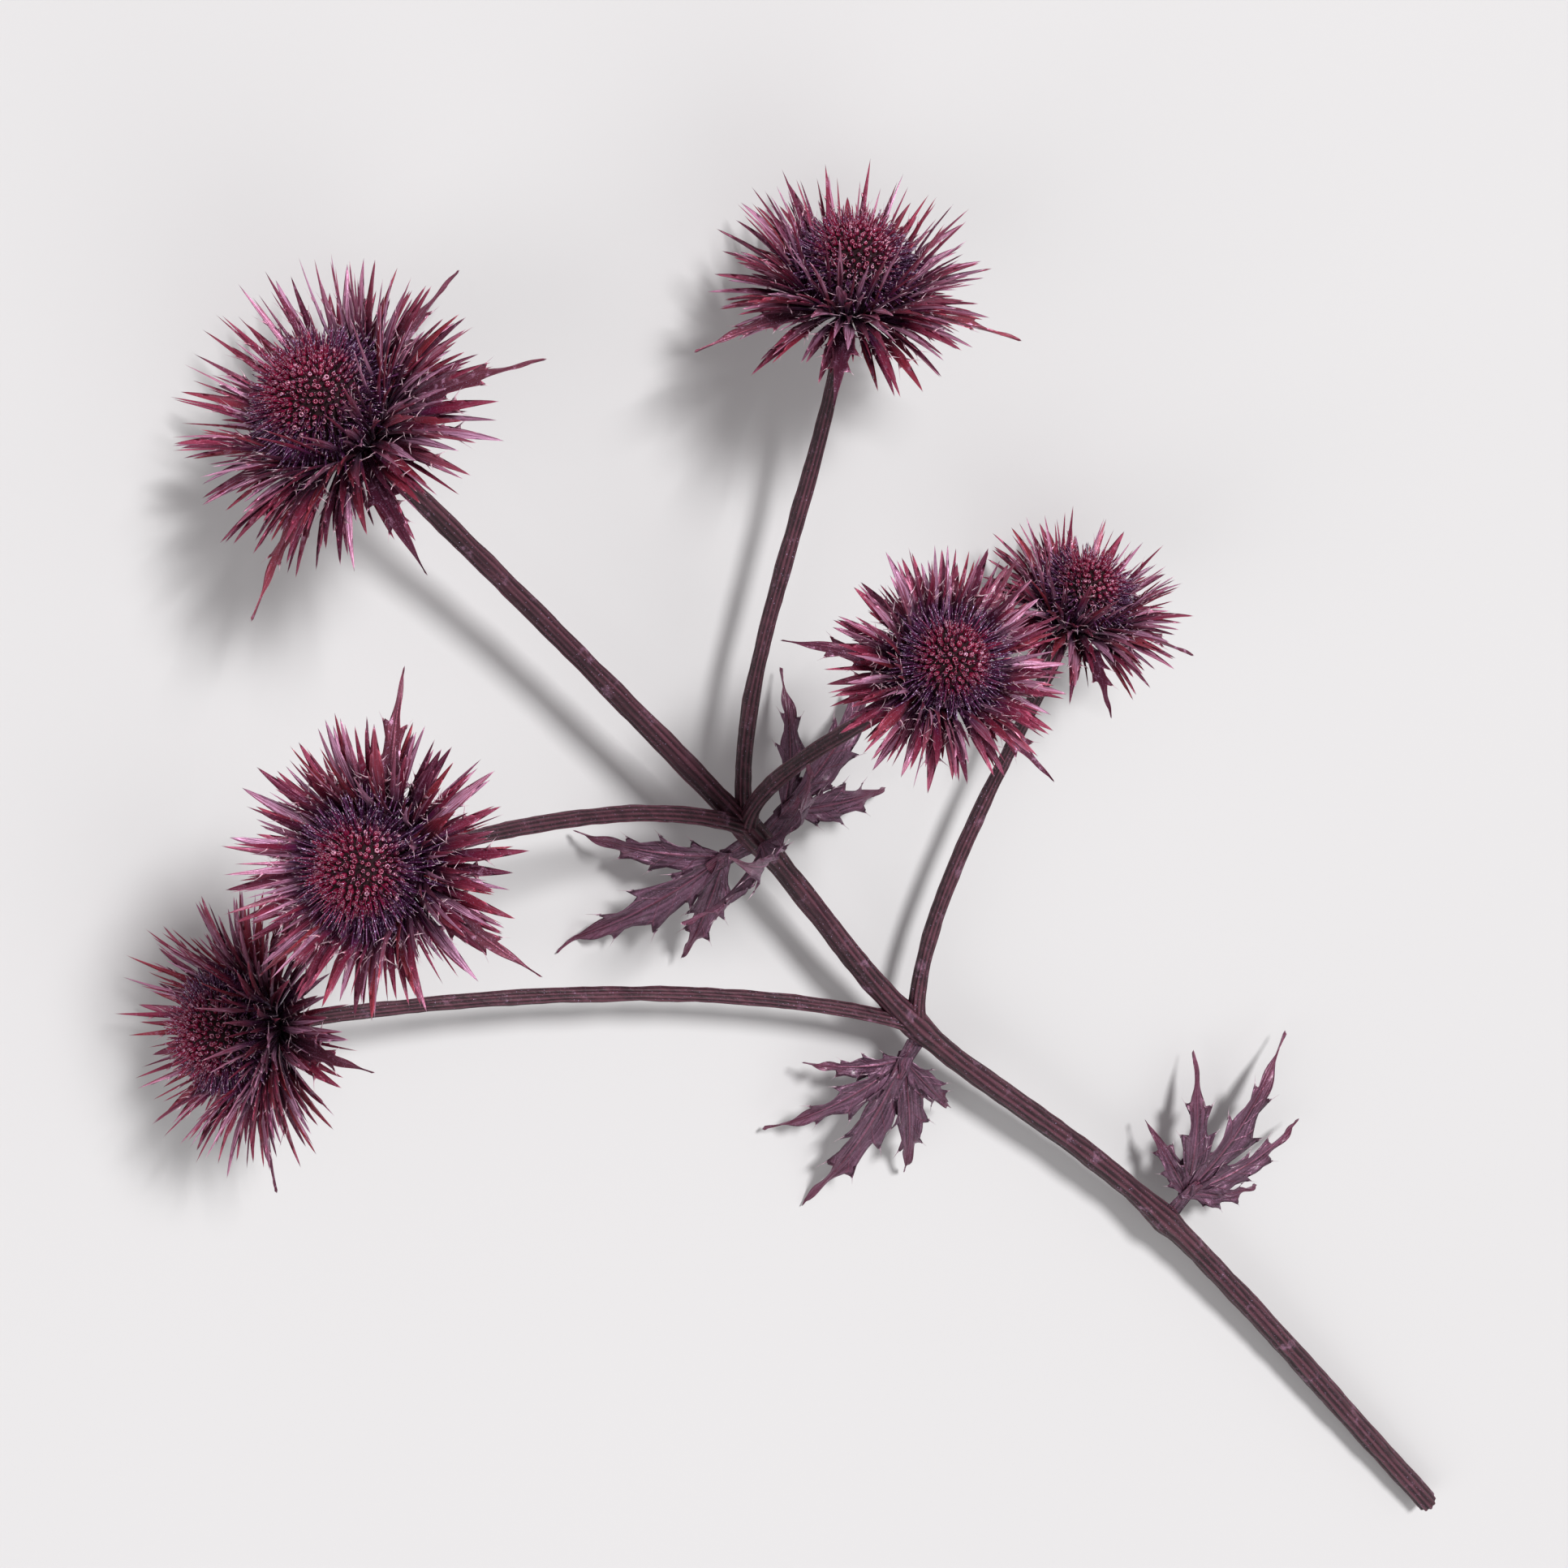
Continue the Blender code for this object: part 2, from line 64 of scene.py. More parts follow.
# The layout of the frame's heads: the middle of the cup's rim, the axis, and the reach of the bracts' tips.
# The leafy bracts' angles run round the head's axis, 90 being the upper side.
Head = namedtuple("Head", "name centre axis reach bracts leafy seed")
HEADS = (
    Head("head_top", (0.007, 0.237, 0.033), (0.02, 0.95, 0.30), 0.037, 71, (20, 150, 78, 205), 1),
    Head("head_left", (-0.102, 0.156, 0.030), (-0.60, 0.75, 0.26), 0.034, 65, (8, 172, 100), 2),
    Head("head_right", (0.102, 0.174, 0.0288), (0.65, 0.70, 0.26), 0.033, 65, (12, 160, 64), 3),
    Head("head_high_left", (-0.048, 0.192, 0.093), (-0.26, 0.62, 0.74), 0.032, 62, (200, 335, 80), 4),
    Head("head_high_right", (0.056, 0.126, 0.084), (0.32, 0.5, 0.8), 0.0285, 53, (215, 330, 120), 5),
    Head("head_low_right", (0.094, 0.074, 0.025), (0.74, 0.55, 0.30), 0.0285, 53, (20, 170, 85), 6),
)
CUP_SHARE = 0.325
CUP_DEPTH_SHARE = 0.85
CUP_SIDES = 28
CUP_RINGS = 8
SEAT_RADIUS = 0.0024
GAP = 0.0003

# Bracts, from the innermost, at share 0, to the outermost, at share 1. Angles are from the head's axis.
SEAT_BELOW_RIM = (math.radians(13), math.radians(66))
FIRST_ANGLE = (math.radians(14), math.radians(100))
LAST_ANGLE = (math.radians(27), math.radians(119))
FULL_SPREAD_FROM = 0.25
INNER_LENGTH_SHARE = 0.92
FULL_LENGTH_FROM = 0.42
FLOOR_CLEARANCE = 0.00012
LYING_LIFT = 0.00045

# Which shape a bract takes: a needle, then one of three with a pair of teeth, then one of three with two.
NEEDLE = 0
FIRST_ONE_PAIR = 1
FIRST_TWO_PAIRS = 4
FIRST_LEAFY = 7
VARIANTS = 3
NEEDLES_UP_TO = 0.34
ONE_PAIR_UP_TO = 0.74

# Leafy bracts leave the foot of the cup.
LEAFY_ANGLES = (math.radians(84), math.radians(106))
LEAFY_LENGTH_SHARE = 1.02
LEAFY_TONES = 7

# The frame's bracts, and slimmer ones that stand between them: their seeds, how they crowd outwards, how far
# their turn, lean and twist are spread and how much wider they open, in degrees, and their length and width.
Kind = namedtuple("Kind", "seeds crowding turn lean twist opening length width")
FRAMED = Kind(1000, 1, 3.5, 6, 16, 0, (0.92, 1.08), (0.9, 1.1))
FILLER = Kind(7000, 0.82, 16, 7.2, 32, 3, (0.66, 1.03), (0.42, 0.78))
FILLERS_A_BRACT = 3.4
FILLER_SHAPES = (0, 1, 2, 3, 3, 4)

# Shapes of blades, in metres across and up, and by share of their length along. A lance has the width at its
# foot, the share where it is widest, its stations' shares and how its width falls to the tip.
Lance = namedtuple("Lance", "foot widest shares fall")
NEEDLE_LANCE = Lance(0.50, 0.46, (-0.08, 0.20, 0.46, 0.70, 0.90), 0.85)
BRACT_LANCE = Lance(0.34, 0.58, (-0.08, 0.14, 0.32, 0.46, 0.58, 0.72, 0.85, 0.94), 0.78)
LOBE_LANCE = Lance(0.42, 0.36, [step / 20 for step in range(-1, 20)], 1.12)
SHEATH_SHARES = (-0.02, 0.2, 0.45, 0.7, 0.9, 0.99)
SHEATH_NARROWING = 0.35
NARROWEST = 0.055
ROOT_LENGTH = 0.02
BRACT_HALF_WIDTH = 0.00125
BRACT_THICKNESS = 0.00034
BRACT_CHANNEL = 0.42
NEEDLE_HALF_WIDTH = 0.00072
NEEDLE_CHANNEL = 0.25
LOBE_HALF_WIDTH = 0.0042
LOBE_THICKNESS = 0.00050
SHEATH_HALF_WIDTH = 0.0026
SHEATH_CHANNEL = 0.35
BLADE_END_THICKNESS = 0.45
LOBE_END_THICKNESS = 0.35
MIDRIB_SHARE = 0.35

# A bract's teeth: the shares where they stand, and how far they reach out, forward (by share) and up.
TOOTH_PLACES = {1: (0.47,), 2: (0.38, 0.64)}
TOOTH_PLACE_SPREAD = 0.035
TOOTH_OUT = (0.0016, 0.0034)
TOOTH_FORWARD = (0.07, 0.15)
TOOTH_UP = (-0.0008, 0.0018)
OUTER_TOOTH_LOSS = 0.2
TOOTH_SEED = 7
NEEDLE_TEETH = ((0.52, -1, 0.0014, 0.12, 0.0004), (0.64, 1, 0.0012, 0.12, 0.0))

# Thorns: their rings as (share of their length, share of their foot's size), how pale they are at the foot
# and how soon they are palest, half of their foot by share of the blade, half of their thickness by share of
# the blade's, and how they arch. On a bract they start inside the edge.
THORN_RINGS = ((0.0, 1.0), (0.22, 0.24))
THORN_END_THICKNESS = 0.35
THORN_PALE = (0.40, 1)
THORN_PALING = 3
BRACT_THORN_FOOT = 0.034
BRACT_THORN_THICKNESS = 0.40
BRACT_THORN_INSIDE = 0.80
BRACT_THORN_RISE = 0.6
BRACT_THORN_ARCH = 0.16
LOBE_THORN_FOOT = 0.014
LOBE_THORN_THICKNESS = 0.5

# A thorn on a lobe starts and ends at these shares of its tooth's sweep and reach, and rises by the last.
LOBE_THORN_START = 0.62
LOBE_THORN_END = (1.45, 1.42, 0.12)

# Lobes, of leafy bracts and of leaves. Their waves are by share of the half width, and their teeth, in
# pairs, are (share, reach out, sweep forward by share).
Lobe = namedtuple("Lobe", "half_width thickness waves seed teeth")
LEAFY_TEETH = ((0.17, 0.0019, 0.07), (0.37, 0.0019, 0.07), (0.57, 0.0015, 0.07))
LOBE_TEETH = ((0.16, 0.0027, 0.07), (0.36, 0.0027, 0.07), (0.56, 0.0022, 0.07))
LEAFY_BRACT = Lobe(0.0024, 0.00042, 0.16, 31, LEAFY_TEETH)
LEAF_LOBE = Lobe(LOBE_HALF_WIDTH, LOBE_THICKNESS, 0.20, 41, LOBE_TEETH)
LOBE_STEPS = 34
LOBE_START = -0.03
LOBE_END = 0.98
LOBE_WIDTH_UP_TO = 0.95
LOBE_TOP = (-1.0, -0.72, -0.40, -0.12, 0.0, 0.12, 0.40, 0.72, 1.0)
LOBE_UNDERSIDE = (0.72, 0.40, 0.0, -0.40, -0.72)
TOOTH_STAGGER = 0.012
TOOTH_LENGTH = 0.085
TOOTH_PEAK = 0.55
TOOTH_TO_THORN = 0.047
WAVE_TURNS = 21
WAVE_SHIFT = 0.9
DISH = 0.34
MIDRIB_REACH = 0.10
MIDRIB_HEIGHT = 0.9
KEEL_DEPTH = 1.3
EDGE_THINNING = 0.75
PALE_MARGIN = 0.45
PALE_MIDRIB = 0.35

# The dome, and what covers it.
DOME_INSET = 0.0016
DOME_HEIGHT_SHARE = 1.32
DOME_LOWEST = math.radians(94)
CORE_HEIGHT_SHARE = 0.87
CORE_SHRINK = 0.97
CORE_BELOW = 0.2
CORE_RINGS = 20
PLACE_SPREAD = 0.00034
FLORET_SPACING = 0.00128
FLORETS = {
    "Start": 0.5,
    "Sink": 0.0002,
    "Size at the top": 0.00072,
    "Size at the foot": 0.00072,
    "Size spread": 0.38,
    "Lean spread": 0.24,
}
SPINE_SPACING = 0.00104
SPINES = {
    "Start": 1.0,
    "Sink": 0.0005,
    "Size at the top": 0.0044,
    "Size at the foot": 0.0084,
    "Size spread": 0.45,
    "Lean spread": 0.20,
}

# A floret, one unit in radius: its rings as (radius, height, how pale). A spine, one unit long: its rings as
# (height, share of its radius).
FLORET_RINGS = ((0.55, -0.9, 0.05), (0.95, 0.0, 0.10), (0.84, 0.80, 0.30), (0.44, 0.66, 0.12))
FLORET_FOOT = -1.1
FLORET_HEART = 0.10
FLORET_LOBES = 5
FLORET_POINT = (0.42, 1.62)
SPINE_RINGS = ((0.0, 0.8), (0.45, 1.0), (0.86, 0.80))
SPINE_RADIUS = 0.034
SPINE_BOW = 0.10
SPINE_FOOT = -0.05
SPINE_PALE = 0.70

# The stem: points and radii along its middle, as in the frame.
CUT_END = ((-0.005, -0.258, 0.0034), 0.0034)
LOW_NODE = ((0.003, -0.094, 0.0090), 0.0032)
MIDDLE_NODE = ((-0.004, 0.014, 0.0130), 0.0030)
FORK = ((0.003, 0.092, 0.0180), 0.0028)
TOP_RADIUS = 0.0021
BRANCH_RADIUS = (0.0021, 0.0017)
BRANCH_START_PULL = 0.9
BRANCH_END_PULL = 1.1
BRANCH_FORWARD = 0.6
BRANCHES = (
    ("head_left", MIDDLE_NODE),
    ("head_low_right", MIDDLE_NODE),
    ("head_right", FORK),
    ("head_high_left", FORK),
    ("head_high_right", FORK),
)
STEM_STEP = 0.0024
SWELLING = 0.28
SWELLING_REACH = 0.009
SWELLING_FALL = 2.2
LOWEST_RIB = 0.35
STEM_SKIN = {
    "Ribs": 11,
    "Points a rib": 6,
    "Rib depth": 0.17,
    "Twist a metre": 2.6,
    "Unevenness": 0.0011,
    "Uneven scale": 110.0,
    "Floor clearance": FLOOR_CLEARANCE,
}
RIM_WIDTH = 0.00035
CUT_FACE_REACH = 0.001

# Leaves: the node that bears them and how far below it they sit, the way that they point (level angle from
# +X, and tilt above the level), and their lobes as (angle, length, half width).
Leaf = namedtuple("Leaf", "name node below heading tilt lobes")
THREE_LOBES = ((-40, 0.036, 0.0036), (3, 0.050, 0.0045), (43, 0.034, 0.0035))
FIVE_LOBES = (
    (-64, 0.026, 0.0030),
    (-33, 0.040, 0.0038),
    (2, 0.052, 0.0046),
    (36, 0.042, 0.0038),
    (66, 0.027, 0.0030),
)
LEAVES = (
    Leaf("leaf_low", LOW_NODE, 0.000, 10, 4, FIVE_LOBES),
    Leaf("leaf_middle", MIDDLE_NODE, 0.002, 200, -6, FIVE_LOBES),
    Leaf("leaf_fork_left", FORK, 0.004, 170, -16, THREE_LOBES),
    Leaf("leaf_fork_right", FORK, 0.005, -6, -18, THREE_LOBES),
    Leaf("leaf_fork_top", FORK, 0.006, 96, 62, THREE_LOBES),
)
LEAF_FIRST_RISE = math.radians(12)
LEAF_DROOP = math.radians(30)
LEAF_FOOT = 0.0005
LEAF_HEART = 0.0045
SHEATH_PAST_HEART = 0.006
SHEATH_RISE = 0.3
SHEATH = 3
TONE_STEP = 0.37

# Colours, in linear red, green and blue.
INDIGO = (0.022, 0.006, 0.036)
PLUM = (0.062, 0.007, 0.028)
ROSE = (0.235, 0.016, 0.050)
SALMON = (0.320, 0.030, 0.040)
DUSTY_ROSE = (0.370, 0.058, 0.112)
BROWN_ROSE = (0.120, 0.034, 0.050)
VIOLET = (0.100, 0.014, 0.080)
# PEARL is the colour of the pearl paint, and on some bracts also a painted sheen, as if they were lit.
PEARL = (0.830, 0.450, 0.690)
# The glints' colour: painted highlights, lilac specks where the pearl paint's flakes would sparkle.
PAINTED_GLINT_LILAC = (0.700, 0.540, 0.860)
SPINE_TIP = (0.840, 0.640, 0.720)
CRIMSON = (0.255, 0.002, 0.042)
# The colour of painted shade, in the florets' hollows and on the dome's core between them.
PAINTED_SHADE_CRIMSON = (0.016, 0.001, 0.004)
PALE_PINK = (0.780, 0.380, 0.520)
LEAF_DARK = (0.014, 0.003, 0.007)
LEAF_BROWN = (0.058, 0.014, 0.032)
STEM_DARK = (0.018, 0.004, 0.008)
STEM_PALE = (0.112, 0.033, 0.052)
PITH = (0.420, 0.300, 0.220)
PITH_RIM = (0.130, 0.055, 0.050)
LUSTRE = (1.000, 0.740, 0.960)
FLOOR = (0.62, 0.61, 0.615)
FLOOR_SHADE = tuple(channel * 0.97 for channel in FLOOR)

# The lilac lustre of pearl paint, the same all over a surface.
PEARLY = {
    "IOR": 1.55,
    "Specular Tint": LUSTRE,
    "Sheen Weight": 0.04,
    "Sheen Roughness": 0.35,
    "Sheen Tint": LUSTRE,
}

# Pearl dust: the noise above which a patch or a glint shows without cover, how much of that full cover takes
# off, and how soft the edge is. Then how fibres change along a blade and from one to the next.
PATCH_LEVELS = (0.66, 0.32, 0.16)
GLINT_LEVELS = (0.78, 0.28, 0.04)
GRAIN_SCALE = 1900.0
FIBRES_ALONG = 3.0
FIBRES_APART = 90.0
BRACT_DUST = {"Patch scale": 430.0, "Cover": 0.36, "Glint scale": 3400.0, "Glint cover": 0.50}
LEAF_DUST = {"Patch scale": 640.0, "Cover": 0.58, "Glint scale": 3400.0, "Glint cover": 0.42}
FLORET_DUST = {"Patch scale": 700.0, "Cover": 0.30, "Glint scale": 3600.0, "Glint cover": 0.55}
SPINE_DUST = {"Patch scale": 600.0, "Cover": 0.5, "Glint scale": 3000.0, "Glint cover": 0.60}
STEM_DUST = {"Patch scale": 160.0, "Cover": 0.35, "Glint scale": 3200.0, "Glint cover": 0.30}

# The studio. Lamps are (name, direction, strength, width in degrees).
FLOOR_SIZE = 60
FLOOR_LEVEL = -0.0002
SKY = (1.0, 0.98, 0.985)
SKY_STRENGTH = 0.36
LAMPS = (
    ("key", (0.75, 0.50, 1.15), 3.3, 12),
    ("side", (-0.95, 0.60, 0.70), 0.7, 40),
    ("far", (-0.30, -0.95, 0.80), 0.4, 50),
)
CAMERA_TARGET = (0.016, 0.084, 0.004)
CAMERA_DISTANCE = 0.62
CAMERA_ELEVATION = math.radians(58)
CAMERA_ROLL = math.radians(134)
CAMERA_LENS = 61
CAMERA_CLIP_START = 0.01


def between(ends, share):
    """The value at a share of the way from the first end to the last."""
    return ends[0] + (ends[1] - ends[0]) * share


def frame_at(place, axis):
    """A frame with its Z along the axis, its X level and its Y on the upper side."""
    along = Vector(axis).normalized()
    level = UP.cross(along).normalized()
    upper = along.cross(level)
    return Matrix.Translation(Vector(place)) @ Matrix((level, upper, along)).transposed().to_4x4()


def direction(turn, rise=0.0):
    """The direction at a level angle from +X and an angle above the level."""
    return Vector((math.cos(turn) * math.cos(rise), math.sin(turn) * math.cos(rise), math.sin(rise)))


# Node trees

class Value:
    """A node's output, so that sums are written as sums. Each makes a Math node, or a Vector Math node."""

    def __init__(self, tree, socket):
        self.tree = tree
        self.socket = socket

    def math(self, operation, *others, out=0, **settings):
        kind = "ShaderNodeVectorMath" if self.socket.type == "VECTOR" else "ShaderNodeMath"
        return node(self.tree, kind, enumerate((self, *others)), out, operation=operation, **settings)

    def __add__(self, other):
        return self.math("ADD", other)

    def __sub__(self, other):
        return self.math("SUBTRACT", other)

    def __rsub__(self, figure):
        return node(self.tree, "ShaderNodeMath", {0: figure, 1: self}, operation="SUBTRACT")

    def __mul__(self, other):
        if self.socket.type == "VECTOR":
            return node(self.tree, "ShaderNodeVectorMath", {0: self, "Scale": other}, operation="SCALE")
        return self.math("MULTIPLY", other)

    def __truediv__(self, other):
        return self.math("DIVIDE", other)

    def step(self, low, high, to_low=0.0, to_high=1.0):
        """The value's way from low to high, smoothly, as from to_low to to_high."""
        inputs = {"Value": self, "From Min": low, "From Max": high, "To Min": to_low, "To Max": to_high}
        return node(self.tree, "ShaderNodeMapRange", inputs, interpolation_type="SMOOTHSTEP")

    def noise(self, scale, detail=2.0, roughness=0.5):
        """Noise at this place."""
        inputs = {"Vector": self, "Scale": scale, "Detail": detail, "Roughness": roughness}
        return node(self.tree, "ShaderNodeTexNoise", inputs)

    def parts(self):
        """The vector's X, Y and Z."""
        return node(self.tree, "ShaderNodeSeparateXYZ", {0: self}, ("X", "Y", "Z"))


def feed(tree, sockets, values):
    """Links values to sockets, or sets them. Sockets go by name or by place."""
    for name, value in dict(values).items():
        if isinstance(name, int):
            target = sockets[name]
        else:
            target = next(found for found in sockets if found.name == name and found.enabled)
        if isinstance(value, Value):
            tree.links.new(value.socket, target)
        elif target.type == "RGBA":
            target.default_value = (*value, 1)
        else:
            target.default_value = value


def node(tree, kind, inputs=(), out=0, **settings):
    """A new node's output, or a list of them, once its settings are made and its inputs are fed."""
    made = tree.nodes.new(kind)
    for name, value in settings.items():
        setattr(made, name, value)
    feed(tree, made.inputs, inputs)
    if isinstance(out, tuple):
        return [Value(tree, made.outputs[name]) for name in out]
    return Value(tree, made.outputs[out])


def vector(tree, x, y, z):
    """A vector from its parts."""
    return node(tree, "ShaderNodeCombineXYZ", {"X": x, "Y": y, "Z": z})


def new_tree(kind, name, inputs, outputs):
    """A node tree, its named inputs' values and its output sockets. Sockets are listed by their type."""
    tree = bpy.data.node_groups.new(name, kind)
    for way, sockets in (("INPUT", inputs), ("OUTPUT", outputs)):
        for socket, labels in sockets.items():
            for label in labels:
                tree.interface.new_socket(name=label, in_out=way, socket_type="NodeSocket" + socket)
    given = {socket.name: Value(tree, socket) for socket in tree.nodes.new("NodeGroupInput").outputs}
    return tree, given, tree.nodes.new("NodeGroupOutput").inputs


def named(tree, name, kind="FLOAT"):
    """A named attribute's value, in a tree for geometry."""
    return node(tree, "GeometryNodeInputNamedAttribute", {"Name": name}, "Attribute", data_type=kind)


def stored(geometry, name, value, domain="POINT"):
    """The geometry with the value kept on it under that name."""
    inputs = {"Geometry": geometry, "Name": name, "Value": value}
    return node(geometry.tree, "GeometryNodeStoreNamedAttribute", inputs, data_type="FLOAT", domain=domain)


def moved(geometry, **to):
    """The geometry with its points at a new Position, or moved by an Offset."""
    return node(geometry.tree, "GeometryNodeSetPosition", {"Geometry": geometry, **to})


def end_tree(pieces, material, result):
    """Ends a tree: its pieces joined as real geometry, with their material."""
    tree = material.tree
    joined = tree.nodes.new("GeometryNodeJoinGeometry")
    for piece in pieces:
        tree.links.new(piece.socket, joined.inputs[0])
    real = node(tree, "GeometryNodeRealizeInstances", {"Geometry": Value(tree, joined.outputs[0])})
    painted = node(tree, "GeometryNodeSetMaterial", {"Geometry": real, "Material": material})
    feed(tree, result, {0: painted})
    return tree


def bent_blades_tree():
    """Blades from points: each takes its shape from the collection, and is bent along its own arc."""
    inputs = {
        "Geometry": ("Points",),
        "Collection": ("Shapes",),
        "Object": ("Core",),
        "Float": ("Lying lift", "Floor clearance"),
        "Material": ("Material",),
    }
    tree, given, result = new_tree("GeometryNodeTree", "Bent blades", inputs, {"Geometry": ("Blades",)})
    chosen = {"Collection": given["Shapes"], "Separate Children": True, "Reset Children": True}
    placing = {
        "Points": given["Points"],
        "Instance": node(tree, "GeometryNodeCollectionInfo", chosen),
        "Pick Instance": True,
        "Instance Index": named(tree, "shape", "INT"),
    }
    placed = node(tree, "GeometryNodeInstanceOnPoints", placing)
    straight = node(tree, "GeometryNodeRealizeInstances", {"Geometry": placed})
    along_blade, across_blade, above_blade = node(tree, "GeometryNodeInputPosition").parts()
    straight = stored(straight, "share", along_blade)
    share, bend, length, width = (named(tree, name) for name in ("share", "bend", "length", "width"))
    vectors = (named(tree, name, "FLOAT_VECTOR") for name in ("seat", "first", "toward", "side"))
    seat, first, toward, side = vectors
    angle = bend * share
    sine = angle.math("SINE")
    cosine = angle.math("COSINE")
    middle = seat + (first * sine + toward * (1.0 - cosine)) * (length / bend)
    along = first * cosine + toward * sine
    side = (side - along * along.math("DOT_PRODUCT", side, out="Value")).math("NORMALIZE")
    face = along.math("CROSS_PRODUCT", side)
    place = middle + side * (across_blade * width) + face * above_blade
    x, y, z = place.parts()
    lowest = (above_blade * 0.5 + given["Lying lift"]).math("MAXIMUM", 0.0) + given["Floor clearance"]
    bent = moved(straight, Position=vector(tree, x, y, z.math("MAXIMUM", lowest)))
    core = node(tree, "GeometryNodeObjectInfo", {"Object": given["Core"]}, "Geometry")
    return end_tree((core, bent), given["Material"], result)


def dome_spiral_tree():
    """Shapes in a golden spiral over a dome, square to its skin, from the top down to the lowest angle."""
    places = ("Start", "Radius", "Height", "Base", "Lowest angle", "Sink", "Place spread")
    sizes = ("Size at the top", "Size at the foot", "Size spread", "Lean spread")
    inputs = {
        "Geometry": ("Core",),
        "Object": ("Shape",),
        "Int": ("Count", "Seed"),
        "Float": places + sizes,
        "Material": ("Material",),
    }
    tree, given, result = new_tree("GeometryNodeTree", "Dome spiral", inputs, {"Geometry": ("Spiral",)})
    number = node(tree, "GeometryNodeInputIndex") + given["Start"]
    share = number / given["Count"]
    turn = number * GOLDEN_ANGLE
    fall = 1.0 - given["Lowest angle"].math("COSINE")
    angle = (1.0 - share * fall).math("ARCCOSINE")
    sine = angle.math("SINE")
    cosine = angle.math("COSINE")
    turn_x = turn.math("COSINE")
    turn_y = turn.math("SINE")

    def on_dome(out, up):
        return vector(tree, out * turn_x, out * turn_y, up)

    def chance(low, high, more_seed):
        values = {"Min": low, "Max": high, "Seed": given["Seed"] + float(more_seed)}
        return node(tree, "FunctionNodeRandomValue", values, 1, data_type="FLOAT")

    def scatter(spread, first_seed):
        return vector(tree, *(chance(spread * -1.0, spread, first_seed + step) for step in range(3)))

    place = on_dome(given["Radius"] * sine, given["Height"] * cosine + given["Base"])
    square = on_dome(sine / given["Radius"], cosine / given["Height"]).math("NORMALIZE")
    place = place - square * given["Sink"]
    aside = scatter(given["Place spread"], 11)
    aside = aside - square * aside.math("DOT_PRODUCT", square, out="Value")
    points = node(tree, "GeometryNodePoints", {"Count": given["Count"], "Position": place + aside})
    leaning = {"Vector": square + scatter(given["Lean spread"], 1)}
    turned = {
        "Rotation": node(tree, "FunctionNodeAlignRotationToVector", leaning, axis="Z"),
        "Rotate By": node(tree, "FunctionNodeAxisAngleToRotation", {"Angle": chance(0.0, FULL_TURN, 4)}),
    }
    grows = given["Size at the foot"] - given["Size at the top"]
    smallest = 1.0 - given["Size spread"]
    placing = {
        "Points": points,
        "Instance": node(tree, "GeometryNodeObjectInfo", {"Object": given["Shape"]}, "Geometry"),
        "Rotation": node(tree, "FunctionNodeRotateRotation", turned, rotation_space="LOCAL"),
        "Scale": (grows * share + given["Size at the top"]) * chance(smallest, 1.0, 5),
    }
    placed = node(tree, "GeometryNodeInstanceOnPoints", placing)
    placed = stored(placed, "level", share, "INSTANCE")
    placed = stored(placed, "tone", chance(0.0, 1.0, 6), "INSTANCE")
    return end_tree((given["Core"], placed), given["Material"], result)


def ribbed_stem_tree():
    """A ribbed stem along its curves, as thick as their radius says. Its ribs are of uneven height."""
    inputs = {
        "Geometry": ("Curves",),
        "Int": ("Ribs", "Points a rib"),
        "Float": ("Rib depth", "Twist a metre", "Unevenness", "Uneven scale", "Floor clearance"),
        "Material": ("Material",),
    }
    tree, given, result = new_tree("GeometryNodeTree", "Ribbed stem", inputs, {"Geometry": ("Stem",)})
    here = node(tree, "GeometryNodeInputPosition")
    turn = node(tree, "GeometryNodeInputIndex") / given["Points a rib"]
    rib = turn.math("ROUND").math("MODULO", given["Ribs"])
    own = {"Min": LOWEST_RIB, "Max": 1.0, "ID": rib, "Seed": 3}
    ridge = (turn * FULL_TURN).math("COSINE") * 0.5 + 0.5
    ridge = ridge * node(tree, "FunctionNodeRandomValue", own, 1, data_type="FLOAT")
    circle = {"Resolution": given["Ribs"] * given["Points a rib"], "Radius": 1.0}
    ring = stored(node(tree, "GeometryNodeCurvePrimitiveCircle", circle), "ridge", ridge)
    ring = moved(ring, Position=here * (1.0 - (1.0 - ridge) * given["Rib depth"]))
    run = node(tree, "GeometryNodeSplineParameter", out="Length")
    curves = stored(given["Curves"], "run", run)
    twisted = {"Curve": curves, "Tilt": run * given["Twist a metre"]}
    swept = {
        "Curve": node(tree, "GeometryNodeSetCurveTilt", twisted),
        "Profile Curve": ring,
        "Scale": node(tree, "GeometryNodeInputRadius"),
        "Fill Caps": True,
    }
    skin = node(tree, "GeometryNodeCurveToMesh", swept)
    rise = (here.noise(given["Uneven scale"], 3.0) - 0.5) * given["Unevenness"]
    skin = moved(skin, Offset=node(tree, "GeometryNodeInputNormal") * rise)
    x, y, z = here.parts()
    skin = moved(skin, Position=vector(tree, x, y, z.math("MAXIMUM", given["Floor clearance"])))
    skin = node(tree, "GeometryNodeSetShadeSmooth", {"Geometry": skin, "Shade Smooth": True})
    return end_tree((skin,), given["Material"], result)


def new_object(name, data, collection=None):
    """An object with that data, in the scene or in the collection."""
    made = bpy.data.objects.new(name, data)
    (collection or bpy.context.scene.collection).objects.link(made)
    return made


def grown(source, tree, values, name):
    """A plain object with what the tree makes of the source, at the origin. The source is removed."""
    modifier = source.modifiers.new(tree.name, "NODES")
    modifier.node_group = tree
    for item in tree.interface.items_tree:
        if item.in_out == "INPUT" and item.name in values:
            modifier[item.identifier] = values[item.name]
    bpy.context.view_layer.update()
    graph = bpy.context.evaluated_depsgraph_get()
    mesh = bpy.data.meshes.new_from_object(source.evaluated_get(graph))
    source.modifiers.clear()
    bpy.data.objects.remove(source, do_unlink=True)
    mesh.name = name
    return new_object(name, mesh)


# Shapes

